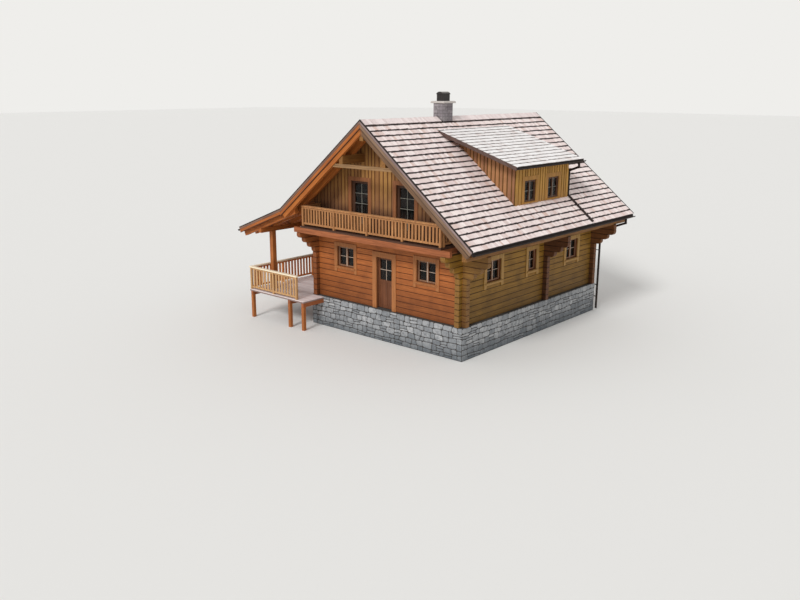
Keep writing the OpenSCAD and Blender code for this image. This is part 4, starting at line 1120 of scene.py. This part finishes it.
def ridge_shakes():
    rng = random.Random(15)
    places = []
    top = Vector((0, 0, RIDGE_Z + RIDGE_LIFT / math.cos(ROOF_PITCH)))
    for side in (1, -1):
        across, up, out = slope_axes(side, ROOF_PITCH)
        for a, b in free_stretches(ROOF_Y0, ROOF_Y1, beside_chimney(0)):
            for left, right in fill(rng, a, b, SHAKE_W, RIDGE_SPREAD):
                start = top - up * (RIDGE_SHAKE_L + rng.uniform(-RIDGE_SLIP, RIDGE_SLIP))
                start.y = left if side > 0 else right
                scale = ((right - left - RIDGE_GAP) / SHAKE_W, RIDGE_SHAKE_L / SHAKE_L, RIDGE_THICKER)
                places.append((axes(start, across, up, out, scale), rng.random() * RIDGE_TONE))
    return joined("ridge_shakes", shake_pattern(), places)


# No course lies over the ridge shakes, so their dark band of dirt and painted shade starts past the head of
# the shake
finish(ridge_shakes(), shake_finish("larch_shakes_ridge", "#F6E9E6", "#E2D1CE", "#DABFB3", "#3A2A28", -0.4),
       replaces=("ridge_cap",))

# %% [markdown]
# ## Verge strips
#
# The verge is closed by a folded strip of dark sheet: it lies on the barge board and turns up against the
# ends of the shakes, and from the ground it is the thin black line along the roof. A curve along the slopes
# could carry it. Its runs are straight, though, so one bar with rounded outer edges, stretched to each run,
# is simpler.

# %% Verge strips
EVEN_TONE = 0.5
VERGE_UP = 0.036
STRIP_ROUND = 0.12


def strip_pattern():
    piece = block("strip", (0, 0, 0), (1, 1, 1))
    pick(piece, "EDGE", lambda e: middle(piece, e).z > 1 - NEAR and abs(middle(piece, e).x - 0.5) < NEAR)
    bpy.ops.mesh.bevel(offset=STRIP_ROUND, segments=2)
    done()
    return piece


def verge_strips():
    barge_low, barge_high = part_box("barge_boards")
    lap = VERGE_UP * math.tan(ROOF_PITCH)
    runs = ((1, ROOF_PITCH, (EAVE_X, MAIN_FOOT_Z), EAVE_X / math.cos(ROOF_PITCH) + lap),
            (-1, ROOF_PITCH, (-KICK_X, KICK_Z), KICK_X / math.cos(ROOF_PITCH) + lap),
            (-1, KICK_PITCH, (-LEFT_X, LEFT_FOOT_Z), (LEFT_X - KICK_X) / math.cos(KICK_PITCH)))
    places = []
    for y0, y1 in ((barge_low.y, ROOF_Y0), (ROOF_Y1, barge_high.y)):
        for side, pitch, (x, z), run in runs:
            across, up, out = slope_axes(side, pitch)
            start = Vector((x, y1 if side > 0 else y0, z))
            places.append((axes(start, up, -across, out, (run, y1 - y0, VERGE_UP)), EVEN_TONE))
    return joined("verge_strips", strip_pattern(), places)


finish(verge_strips(), painted_sheet("verge_strip_black", "#1C1514", 0.6))

# %% [markdown]
# ## Boards
#
# The loft is boarded upright in two layers of sawn boards. The inner layer is the wall of the frame; the
# outer boards, about 150 mm wide, leave 58 mm of it open between them, so that each joint is a dark stripe.
# Stripes drawn on a flat wall would lose the shadow beside each board. One pattern board has its two long
# outer edges planed off. It is laid along the wall, left out over the openings, and the whole wall is then
# sawn off along the roof, as carpenters do.

# %% Pattern board
BOARD_STEP = 0.205
BOARD_T = 0.022
BOARD_EDGE = 0.004


def board_pattern(width=BOARD_STEP, thick=BOARD_T, edge=BOARD_EDGE):
    """A board 1 m long, to be stretched to its place."""
    piece = block("board", (0, 0, 0), (width, 1, thick))
    pick(piece, "EDGE", lambda e: middle(piece, e).z > thick - NEAR and abs(middle(piece, e).y - 0.5) < NEAR)
    bpy.ops.mesh.bevel(offset=edge, segments=1)
    done()
    return piece


print("pattern board", round(BOARD_T * 1000), "mm thick")

# %% [markdown]
# A wall is a run of boards from one end to the other. A board that meets an opening is cut into the pieces
# below, above and beside it. Holes could be cut by a boolean modifier, but a carpenter lays only what is
# needed.

# %% Boarded walls
BOARD_GAP = 0.058
BOARD_SPREAD = 0.18
NARROWEST = 0.087
TRIM_COVER = 0.07
UP = Vector((0, 0, 1))


def beside_hole(left, right, height, hole):
    """What is left of a board that crosses an opening: below it, above it and beside it."""
    a, b, z0, z1 = hole
    low_cut, high_cut = z0 - TRIM_COVER, z1 + TRIM_COVER
    pieces = [(left, right, 0, low_cut), (left, right, high_cut, height)]
    if left < a:
        pieces.append((left, a, low_cut, high_cut))
    if right > b:
        pieces.append((b, right, low_cut, high_cut))
    return pieces


def board_wall(name, seed, origin, out, width, height, holes=(), step=BOARD_STEP):
    """Upright boards on a wall that faces out. Holes are given along the wall and up it."""
    rng = random.Random(seed)
    across = UP.cross(out)
    places = []
    for left, right in fill(rng, 0, width, step, BOARD_SPREAD):
        tone = rng.random()
        crossed = [hole for hole in holes if left < hole[1] and right > hole[0]]
        pieces = beside_hole(left, right, height, crossed[0]) if crossed else [(left, right, 0, height)]
        for x0, x1, z0, z1 in pieces:
            if x1 - x0 > NARROWEST and z1 > z0:
                start = Vector(origin) + across * (x0 + BOARD_GAP / 2) + UP * z0
                scale = ((x1 - x0 - BOARD_GAP) / BOARD_STEP, z1 - z0, 1)
                places.append((axes(start, across, UP, out, scale), tone))
    return joined(name, board_pattern(), places)


def saw_off(piece, point, away):
    """Cuts off what lies beyond a plane and closes the cut."""
    pick(piece, "FACE", lambda f: True)
    bpy.ops.mesh.bisect(plane_co=point, plane_no=away, use_fill=True, clear_outer=True)
    done()


print("outer boards about", round((BOARD_STEP - BOARD_GAP) * 1000), "mm wide")

# %% [markdown]
# Sawn boards take up more oil than planed logs and look rougher and duller. The tone of a board moves it
# between two stains of the same oil. Low down the gable boards have weathered to a mauve brown, and behind
# the balcony rail at the front they are darker still, as painted shade. A painted mask could place that, but
# a height above the loft floor says the same in one node. The gaps between the boards are real, and the wall
# behind them is painted dark, as shade.

# %% Board finish
RAIL_SHADE_SPAN = (0.6, 1.1)
WEATHERED = (0.9, 1.8)
MAUVE_BROWN = "#7E5644"


def weather_and_shade_coats(tree, stain_and_shade):
    """Mauve brown low on the gables, and painted shade behind the balcony rail, which is only at the front.
    """
    _, y, z = object_xyz(tree)
    mauve = add(tree, "MapRange", (z, LOFT_Z + WEATHERED[0], LOFT_Z + WEATHERED[1], 0.5, 0.0))
    # Painted shade behind the balcony rail, at the front only
    rail_shade = add(tree, "MapRange", (z, LOFT_Z + RAIL_SHADE_SPAN[0], LOFT_Z + RAIL_SHADE_SPAN[1], 0.95, 0.0))
    in_front = add(tree, "Math", (y, HOUSE_L / 2), operation="LESS_THAN")
    rail_shade_in_front = add(tree, "Math", (rail_shade, in_front), operation="MULTIPLY")
    return (mauve, MAUVE_BROWN), (rail_shade_in_front, stain_and_shade)


def board_finish(name, light, dark, stain_and_shade, axis=2):
    """Sawn boards along one axis. Upright ones are weathered low down and take painted shade behind the
    balcony rail.
    """
    material, tree, shader = start_material(name, 0.66)
    tone = add(tree, "Attribute", attribute_name="tone").outputs["Fac"]
    streaks = grain(tree, axis)
    darker = add(tree, "MapRange", (tone, 0.0, 1.0, 0.0, 0.7))
    worn = add(tree, "MapRange", (streaks, 0.42, 0.72, 0.0, 0.5))
    stained = add(tree, "MapRange", (specks(tree, STAIN_SIZE), 0.5, 0.8, 0.0, 0.4))
    colour = coats(tree, light, (darker, dark), (worn, dark), (stained, stain_and_shade))
    if axis == 2:
        colour = coats(tree, colour, *weather_and_shade_coats(tree, stain_and_shade))
    surface(tree, shader, colour, streaks, GRAIN_DEPTH)
    return material


# The inner boards are painted dark, as shade in the gaps between the outer ones
dress(board_finish("gable_inner_boards_painted_shade", "#6A4024", "#4A2A16", "#24130A"), "gable_front", "gable_back")
print("inner boards of the gables finished")

# %% [markdown]
# The outer boards of a gable stand on the log wall and end under the roof. Each could be cut to its own
# length. It is quicker to lay them all as high as the ridge and to saw once along each slope. The front
# gable leaves room for the two balcony doors, the back gable for its two windows.

# %% Gable boards
FRONT, BACK = Vector((0, -1, 0)), Vector((0, 1, 0))
ROOF_T = 0.15
BALCONY_DOOR_W, BALCONY_DOOR_H = 1.01, 2.06
WINDOW_W, WINDOW_H = 1.04, 0.924
UPPER_X = (-1.34, 1.18)
LOFT_SILL = 0.90
GABLE_BOARDS = board_finish("gable_boards_brown_oil", "#B88748", "#8A5C36", "#44261A")


def gable_boards(name, seed, y, out, width, sill, height):
    """Boards on one gable, with an opening of one size, at its sill, at each of the upper places."""
    across = UP.cross(out)
    start = Vector((-HALF_W * across.x, y, WALL_TOP))
    holes = []
    for x in UPPER_X:
        along = (x - start.x) * across.x
        holes.append((along - width / 2, along + width / 2, sill - WALL_TOP, sill + height - WALL_TOP))
    piece = board_wall(name, seed, start, out, 2 * HALF_W, RIDGE_Z - WALL_TOP, holes)
    under = Vector((0, 0, RIDGE_Z - ROOF_T / math.cos(ROOF_PITCH)))
    for side in (1, -1):
        saw_off(piece, under, (side * math.sin(ROOF_PITCH), 0, math.cos(ROOF_PITCH)))
    finish(piece, GABLE_BOARDS)


gable_boards("front_gable_boards", 21, 0.0, FRONT, BALCONY_DOOR_W, LOFT_Z, BALCONY_DOOR_H)
gable_boards("back_gable_boards", 22, HOUSE_L, BACK, WINDOW_W, LOFT_Z + LOFT_SILL, WINDOW_H)

# %% [markdown]
# The dormer's front and its two cheeks are boarded the same way, with boards a little narrower. The cheeks
# are triangles between the main slope and the dormer's roof: they are laid as full walls too, and sawn off
# along both.

# %% Dormer boards
RIGHT = Vector((1, 0, 0))
DORMER_BOARD_STEP = 0.195
DORMER_WINDOW_Y = (4.295, 6.095)
DORMER_WINDOW_W, DORMER_WINDOW_H = 0.90, 0.92
DORMER_SILL = 0.075
DORMER_ROOF_T = 0.09


def main_z(x):
    """Height of the main slope's top face."""
    return RIDGE_Z - abs(x) * math.tan(ROOF_PITCH)


def dormer_under(x):
    """Height of the underside of the dormer's roof."""
    top = DORMER_FOOT_Z + (DORMER_HIGH.x - x) * math.tan(DORMER_PITCH)
    return top - DORMER_ROOF_T / math.cos(DORMER_PITCH)


def dormer_front_boards():
    z = main_z(DORMER_X)
    holes = [(y - DORMER_WINDOW_W / 2 - DORMER_Y0, y + DORMER_WINDOW_W / 2 - DORMER_Y0,
              DORMER_SILL, DORMER_SILL + DORMER_WINDOW_H) for y in DORMER_WINDOW_Y]
    return board_wall("dormer_front_boards", 23, (DORMER_X, DORMER_Y0, z), RIGHT,
                      DORMER_Y1 - DORMER_Y0, dormer_under(DORMER_X) - z, holes, DORMER_BOARD_STEP)


def cheek_boards(name, seed, x, y, out):
    z = main_z(DORMER_X)
    cheek = board_wall(name, seed, (x, y, z), out, DORMER_X - CHEEK_X, RIDGE_Z - z, step=DORMER_BOARD_STEP)
    saw_off(cheek, (DORMER_X, 0, z), (-math.sin(ROOF_PITCH), 0, -math.cos(ROOF_PITCH)))
    saw_off(cheek, (DORMER_X, 0, dormer_under(DORMER_X)), (math.sin(DORMER_PITCH), 0, math.cos(DORMER_PITCH)))
    return cheek


CHEEK_BOARDS = board_finish("dormer_cheek_boards", "#BC8757", "#8A5E48", "#5E3D2D")
finish(dormer_front_boards(),
       board_finish("dormer_boards_honey_oil", "#CE9C4C", "#9A7030", "#5E4218"))
finish(cheek_boards("front_cheek_boards", 24, CHEEK_X, DORMER_Y0, FRONT), CHEEK_BOARDS)
finish(cheek_boards("back_cheek_boards", 25, DORMER_X, DORMER_Y1, BACK), CHEEK_BOARDS)

# %% [markdown]
# ## Rubble plinth
#
# The mason built the plinth of split field stones, laid in rough courses that rise and fall, with two flat
# stones in place of one here and there. A cell texture could crack a flat wall into stones, but it has no
# courses. So each stone is drawn as a cell between two wavy bed lines, with its corners knocked off.

# %% Wavy bed lines
BED_WAVE = 0.022
BED_SHIFT = 0.12
LONG_WAVE, SHORT_WAVE, SHORT_SHARE = 1.9, 5.1, 0.7
WAVE_START = (0, 6)


def bed_lines(rng, rows, height):
    """Heights of the bed joints at a place along the wall. The lowest and the topmost are level."""
    waves = [(rng.uniform(*WAVE_START), rng.uniform(*WAVE_START), rng.uniform(-BED_SHIFT, BED_SHIFT))
             for _ in range(rows + 1)]

    def bed(row, x):
        level = row * height / rows
        if row in (0, rows):
            return level
        first, second, shift = waves[row]
        wave = math.sin(LONG_WAVE * x + first) + SHORT_SHARE * math.sin(SHORT_WAVE * x + second)
        return level + shift * height / rows + BED_WAVE * wave
    return bed


print("beds rise and fall by", round(BED_WAVE * 1000), "mm")

# %% [markdown]
# A stone's joints lean a little to either side, its corners are knocked off by different amounts, and a
# wide cell is now and then split into two flat stones. Random polygons would fit worse: a mason keeps the
# joints thin.

# %% Cells of a wall
STONE_W, STONE_H = 0.36, 0.235
STONE_SPREAD = 0.42
LEAN = 0.03
SPLIT_WIDER, SPLIT_OFTEN = 0.34, 0.3
SPLIT_AT = (0.4, 0.6)
CORNER_OFF = 0.16
CORNER_VARY = (0.6, 1.4)


def knock_off(rng, corners):
    """The corners of a cell taken off, each by another amount."""
    for k, corner in enumerate(corners):
        for other in (corners[k - 1], corners[(k + 1) % len(corners)]):
            yield corner.lerp(other, CORNER_OFF * rng.uniform(*CORNER_VARY))


def stone_cells(rng, width, height):
    """Cells of a wall, one for each stone."""
    rows = round(height / STONE_H)
    bed = bed_lines(rng, rows, height)
    for row in range(rows):
        lean = 0.0
        for a, b in fill(rng, 0, width, STONE_W, STONE_SPREAD):
            next_lean = 0.0 if b > width - NEAR else rng.uniform(-LEAN, LEAN)
            corners = [Vector((a - lean, bed(row, a))), Vector((b - next_lean, bed(row, b))),
                       Vector((b + next_lean, bed(row + 1, b))), Vector((a + lean, bed(row + 1, a)))]
            lean = next_lean
            if b - a > SPLIT_WIDER and rng.random() < SPLIT_OFTEN:
                left = corners[0].lerp(corners[3], rng.uniform(*SPLIT_AT))
                right = corners[1].lerp(corners[2], rng.uniform(*SPLIT_AT))
                yield list(knock_off(rng, [corners[0], corners[1], right, left]))
                yield list(knock_off(rng, [left, right, corners[2], corners[3]]))
            else:
                yield list(knock_off(rng, corners))


print("courses of stones", round((high("stone_plinth").z - low("stone_plinth").z) / STONE_H))

# %% [markdown]
# The cells are then worked in edit mode: inset to leave the mortar joint, copied and turned round for the
# stones' backs, raised, and inset again for the rounded face. Last, each back is joined to its stone.

# %% Raising stones
JOINT = 0.011
STONE_OUT = 0.026
STONE_EDGE = 0.018
STEEP_EDGE, STEEP_OUT = 0.4, 0.75
WELD = 1e-5


def raise_stones(piece):
    pick(piece, "FACE", lambda f: True)
    bpy.ops.mesh.inset(thickness=JOINT, depth=0, use_individual=True)
    bpy.ops.mesh.select_all(action="INVERT")
    bpy.ops.mesh.delete(type="FACE")
    bpy.ops.mesh.select_all(action="SELECT")
    bpy.ops.mesh.duplicate()
    bpy.ops.mesh.flip_normals()
    bpy.ops.mesh.select_all(action="INVERT")
    bpy.ops.mesh.inset(thickness=STONE_EDGE * STEEP_EDGE, depth=STONE_OUT * STEEP_OUT, use_individual=True)
    bpy.ops.mesh.inset(thickness=STONE_EDGE, depth=STONE_OUT * (1 - STEEP_OUT), use_individual=True)
    bpy.ops.mesh.select_all(action="SELECT")
    bpy.ops.mesh.remove_doubles(threshold=WELD)
    done()


print("stones stand out", round(STONE_OUT * 1000), "mm")

# %% [markdown]
# The four sides of the plinth are walled one after the other, and all stones become one piece. Loose stones
# could be dropped together by a physics run, but a mason sets rubble in mortar to one flat face.

# %% Plinth stones
def four_sides(lowest, highest):
    """The four walls of a box, seen from outside: lower left corner, way to the right, and length."""
    width, length, _ = highest - lowest
    z = lowest.z
    return ((Vector((lowest.x, lowest.y, z)), RIGHT, width),
            (Vector((highest.x, lowest.y, z)), BACK, length),
            (Vector((highest.x, highest.y, z)), -RIGHT, width),
            (Vector((lowest.x, highest.y, z)), FRONT, length))


def plinth_stones():
    rng = random.Random(31)
    lowest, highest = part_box("stone_plinth")
    points, faces = [], []
    for start, across, run in four_sides(lowest, highest):
        for cell in stone_cells(rng, run, highest.z - lowest.z):
            faces.append(tuple(range(len(points), len(points) + len(cell))))
            points += [start + across * p.x + UP * p.y for p in cell]
    mesh = bpy.data.meshes.new("plinth_stones")
    mesh.from_pydata(points, [], faces)
    put_tones(mesh, [rng.random() for _ in faces])
    piece = bpy.data.objects.new("plinth_stones", mesh)
    bpy.context.collection.objects.link(piece)
    raise_stones(piece)
    return piece


PLINTH_STONES = plinth_stones()
print("stones", len(PLINTH_STONES.data.polygons), "faces")

# %% [markdown]
# Split stone is rough and has no sheen. Its tone differs from stone to stone, with darker spots of 0.1 m, and
# grit gives its face a relief. Towards the ground the plinth is darker.

# %% Stone finish
STONES_DARKER_TO = 0.75
LOW_STONE_TONE = "#4A5258"
SPOT_SIZE = 1 / 9
STONE_RELIEF = 0.02


def stone_finish(name, pale, mid, dark, grit_size):
    """Split stone: each stone in its own tone, spotted, and darker towards the ground."""
    material, tree, shader = start_material(name, 0.92)
    tone = add(tree, "Attribute", attribute_name="tone").outputs["Fac"]
    spotted = add(tree, "MapRange", (specks(tree, SPOT_SIZE, 5.0, 0.65), 0.45, 0.7, 0.0, 0.75))
    # The stones are darker towards the ground
    dark_share = add(tree, "MapRange", (object_xyz(tree)[2], 0.0, STONES_DARKER_TO, 0.75, 0.0))
    colour = coats(tree, pale, (tone, mid), (spotted, dark), (dark_share, LOW_STONE_TONE))
    surface(tree, shader, colour, specks(tree, grit_size, 5.0, 0.6), STONE_RELIEF)
    return material


finish(PLINTH_STONES, stone_finish("split_grey_fieldstone", "#B2B3B4", "#86898C", "#64676C", 0.12))

# %% [markdown]
# ## Chimney blocks
#
# The chimney head is laid in courses of small grey blocks with struck joints. A brick texture could draw
# them, but it runs round no corner. Blocks laid along each side in turn do, and each can have its own
# width. One block is inset and the rim of its face is pressed back, which leaves the face proud of its worn
# edges.

# %% Chimney blocks
CHIMNEY_COURSE = 0.15
CHIMNEY_BLOCK = 0.30
CHIMNEY_OUT = 0.012
CHIMNEY_JOINT = 0.010
BLOCK_SPREAD = 0.3
BLOCK_RIM, BLOCK_WEAR = 0.6, 0.5


def block_pattern(height):
    pattern = block("block", (0, 0, 0), (CHIMNEY_BLOCK, height, CHIMNEY_OUT))
    pick(pattern, "FACE", lambda f: f.normal.z > 1 - NEAR)
    bpy.ops.mesh.inset(thickness=CHIMNEY_OUT * BLOCK_RIM, depth=0)
    done()
    pick(pattern, "VERT", lambda v: v.co.z > CHIMNEY_OUT / 2 and (
        v.co.x < NEAR or v.co.x > CHIMNEY_BLOCK - NEAR or v.co.y < NEAR or v.co.y > height - NEAR))
    bpy.ops.transform.translate(value=(0, 0, -CHIMNEY_OUT * BLOCK_WEAR))
    done()
    return pattern


def chimney_blocks():
    rng = random.Random(41)
    foot = main_z(max(abs(CHIMNEY_LOW.x), CHIMNEY_HIGH.x)) - CHIMNEY_COURSE
    courses = round((CHIMNEY_HIGH.z - foot) / CHIMNEY_COURSE)
    step = (CHIMNEY_HIGH.z - foot) / courses
    places = []
    for k in range(courses):
        for corner, across, run in four_sides(CHIMNEY_LOW, CHIMNEY_HIGH):
            for a, b in fill(rng, 0, run, CHIMNEY_BLOCK, BLOCK_SPREAD):
                start = corner + across * (a + CHIMNEY_JOINT / 2)
                start.z = foot + k * step
                scale = ((b - a - CHIMNEY_JOINT) / CHIMNEY_BLOCK, 1, 1)
                places.append((axes(start, across, UP, across.cross(UP), scale), rng.random()))
    return joined("chimney_blocks", block_pattern(step - CHIMNEY_JOINT), places)


finish(chimney_blocks(), stone_finish("grey_chimney_block", "#A39C9E", "#827B7F", "#645E5D", 0.05))

# %% [markdown]
# ## Bars in the windows
#
# Each casement is divided by thin bars, painted pale below and grey in the loft. A wireframe modifier on
# the panes could make them, but with no say over their section. A bar is a planed lath with its outer edges
# taken off, set against the outside of the glass, so the pattern board is used again at another size. Where
# two casements meet, a flat strip of the same paint covers the joint.

# %% Bars and meeting strips
BAR_W, BAR_T = 0.022, 0.022
BAR_EDGE = 0.006
MEETING_W, MEETING_T = 0.028, 0.010
FRAME_W, STILE_W = 0.045, 0.050
SASH_D, SASH_PROUD = 0.040, 0.010
RECESS = 0.090


def bar_pattern():
    return board_pattern(BAR_W, BAR_T, BAR_EDGE)


def bars_in(places, origin, out, x0, x1, z0, z1, uprights, levels):
    """Bars that divide one pane's field, standing on the glass."""
    across = UP.cross(out)
    for k in range(1, uprights + 1):
        x = x0 + k * (x1 - x0) / (uprights + 1)
        start = origin + across * (x - BAR_W / 2) + UP * z0
        places.append((axes(start, across, UP, out, (1, z1 - z0, 1)), EVEN_TONE))
    for k in range(1, levels + 1):
        z = z0 + k * (z1 - z0) / (levels + 1)
        start = origin + across * x0 + UP * (z + BAR_W / 2)
        places.append((axes(start, -UP, across, out, (1, x1 - x0, 1)), EVEN_TONE))


def window_bars(places, sill, out, width, height, inset=RECESS, sashes=2, stile=STILE_W, bottom=STILE_W,
                uprights=0, levels=1):
    """The bars of one window that faces out, with the middle of its sill at a place on the wall."""
    sill = Vector(sill)
    across = UP.cross(out)
    if sashes == 2:
        start = sill - out * (inset - SASH_PROUD) - across * MEETING_W / 2 + UP * FRAME_W
        scale = (MEETING_W / BAR_W, height - 2 * FRAME_W, MEETING_T / BAR_T)
        places.append((axes(start, across, UP, out, scale), EVEN_TONE))
    sash = (width - 2 * FRAME_W) / sashes
    for k in range(sashes):
        left = FRAME_W - width / 2 + k * sash
        bars_in(places, sill - out * (inset + SASH_D), out, left + stile, left + sash - stile,
                FRAME_W + bottom, height - FRAME_W - stile, uprights, levels)


print("bars", round(BAR_W * 1000), "mm wide")

# %% [markdown]
# The windows stand at the same places as their frames, and a repeated window is a loop over those places.
# The balcony doors have wider rails and three cross bars, and the door's light has a cross on each face,
# which swings with the leaf.

# %% Bars of the windows and the door
SILL_Z = 1.476
LOWER_X = (-2.23, 2.29)
SMALL_WINDOW_W = 0.68
SIDE_WINDOWS = ((2.08, WINDOW_W), (4.915, SMALL_WINDOW_W), (8.225, WINDOW_W))
DOOR = "front_door"
DORMER_RECESS = 0.030
BALCONY_DOOR = {"sashes": 1, "stile": 0.080, "bottom": 0.200, "uprights": 1, "levels": 3}
SMALL_WINDOW = {"sashes": 1, "uprights": 1}


def lower_bars():
    places = []
    z = FLOOR_Z + SILL_Z
    for x in LOWER_X:
        window_bars(places, (x, 0, z), FRONT, WINDOW_W, WINDOW_H)
        window_bars(places, (x, HOUSE_L, z), BACK, WINDOW_W, WINDOW_H)
    for y, width in SIDE_WINDOWS:
        kind = SMALL_WINDOW if width == SMALL_WINDOW_W else {}
        for side in (1, -1):
            window_bars(places, (side * HALF_W, y, z), side * RIGHT, width, WINDOW_H, **kind)
    return joined("lower_window_bars", bar_pattern(), places)


def upper_bars():
    places = []
    for x in UPPER_X:
        window_bars(places, (x, 0, LOFT_Z), FRONT, BALCONY_DOOR_W, BALCONY_DOOR_H, **BALCONY_DOOR)
        window_bars(places, (x, HOUSE_L, LOFT_Z + LOFT_SILL), BACK, WINDOW_W, WINDOW_H)
    for y in DORMER_WINDOW_Y:
        window_bars(places, (DORMER_X, y, main_z(DORMER_X) + DORMER_SILL), RIGHT, DORMER_WINDOW_W,
                    DORMER_WINDOW_H, DORMER_RECESS)
    return joined("upper_window_bars", bar_pattern(), places)


def door_bars():
    """A cross of bars on each face of the front door's light. From inside, left and right change places."""
    lowest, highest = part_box("door_glass")
    places = []
    bars_in(places, Vector((0, lowest.y, 0)), FRONT, lowest.x, highest.x, lowest.z, highest.z, 1, 1)
    bars_in(places, Vector((0, highest.y, 0)), BACK, -highest.x, -lowest.x, lowest.z, highest.z, 1, 1)
    return joined("door_bars", bar_pattern(), places)


# Paint lies on the wood in an even film, so the grain only shows as a faint change of tone
PALE_PAINT = timber("window_bars_pale_paint", "#D6C2B0", "#B9A390", 2)
finish(lower_bars(), PALE_PAINT)
finish(upper_bars(), timber("window_bars_grey_paint", "#9C998E", "#7F7C72", 2))
finish(door_bars(), PALE_PAINT, DOOR)

# %% [markdown]
# ## Decking
#
# The floors of the terrace and the balcony are boards across the beams, a few millimetres apart so that
# rain falls through. Grooves could be cut into the decks of the frame, but those stay as they are. So
# boards of 24 mm are laid on them, and the deck's weathered tone shows in the gaps. The terrace's boards
# stop where the plinth begins.

# %% Terrace and balcony boards
DECK_W, DECK_T, DECK_GAP = 0.145, 0.024, 0.006


def deck(name, seed, floor, notch=None):
    """Boards along X over a floor. A notch is a corner that they leave out: its left side and its front."""
    rng = random.Random(seed)
    lowest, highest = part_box(floor)
    count = round((highest.y - lowest.y) / DECK_W)
    step = (highest.y - lowest.y) / count
    places = []
    for k in range(count):
        y = lowest.y + k * step
        end = notch.x if notch and y + step / 2 > notch.y else highest.x
        start = Vector((end, y + DECK_GAP / 2, highest.z))
        scale = ((step - DECK_GAP) / DECK_W, end - lowest.x, 1)
        places.append((axes(start, BACK, -RIGHT, UP, scale), rng.random()))
    return joined(name, board_pattern(DECK_W, DECK_T), places)


# The deck boards' near white is their greyed pink brightened as painted sunlight
finish(deck("terrace_boards", 51, "terrace_deck", low("stone_plinth")),
       board_finish("deck_boards_greyed_pink_painted_sunlight", "#EFE4E2", "#D2C2C0", "#A08D8A", 0))
# The balcony boards are painted dark, as shade seen between the balusters
finish(deck("balcony_boards", 52, "balcony_floor"),
       board_finish("balcony_boards_painted_shade", "#503224", "#382218", "#24150E", 0))

# %% [markdown]
# ## Gutter brackets
#
# A gutter hangs on flat iron brackets, about 0.85 m apart. Each wraps the half round from below and is
# nailed up under the first course of shakes. A bracket could be cut from a ring. It is bent here as the
# smith bends it: the end of a strap is drawn out in short steps, each turned a little round the gutter's
# middle. At the lip it is no wider than the gutter.

# %% Brackets
BRACKET_EVERY = 0.85
BRACKET_W, BRACKET_T = 0.028, 0.005
BRACKET_STEPS = 8
GUTTER_R = 0.065
GUTTER_DROP = 0.1


def bracket_pattern():
    """A strap bent round the gutter: its X goes outwards from the eave and its Z up from the gutter's rim."""
    piece = block("bracket", (-BRACKET_T, -BRACKET_W / 2, 0), (0, BRACKET_W / 2, 2 * BRACKET_T))
    pick(piece, "FACE", lambda f: f.normal.z < -1 + NEAR)
    for _ in range(BRACKET_STEPS):
        bpy.ops.mesh.extrude_region_move()
        bpy.ops.transform.rotate(value=math.pi / BRACKET_STEPS, orient_axis="Y",
                                 center_override=(GUTTER_R, 0, 0))
    done()
    return piece


def gutter_brackets():
    squeeze = GUTTER_R / (GUTTER_R + BRACKET_T)
    count = round((ROOF_Y1 - ROOF_Y0) / BRACKET_EVERY)
    step = (ROOF_Y1 - ROOF_Y0) / count
    places = []
    for side, x, z in ((1, EAVE_X, MAIN_FOOT_Z - GUTTER_DROP), (-1, -LEFT_X, LEFT_FOOT_Z - GUTTER_DROP)):
        for k in range(count):
            start = (x + side * squeeze * BRACKET_T, ROOF_Y0 + (k + 0.5) * step, z)
            places.append((axes(start, side * RIGHT, side * BACK, UP, (squeeze, 1, 1)), EVEN_TONE))
    return joined("gutter_brackets", bracket_pattern(), places)


finish(gutter_brackets(), IRON)
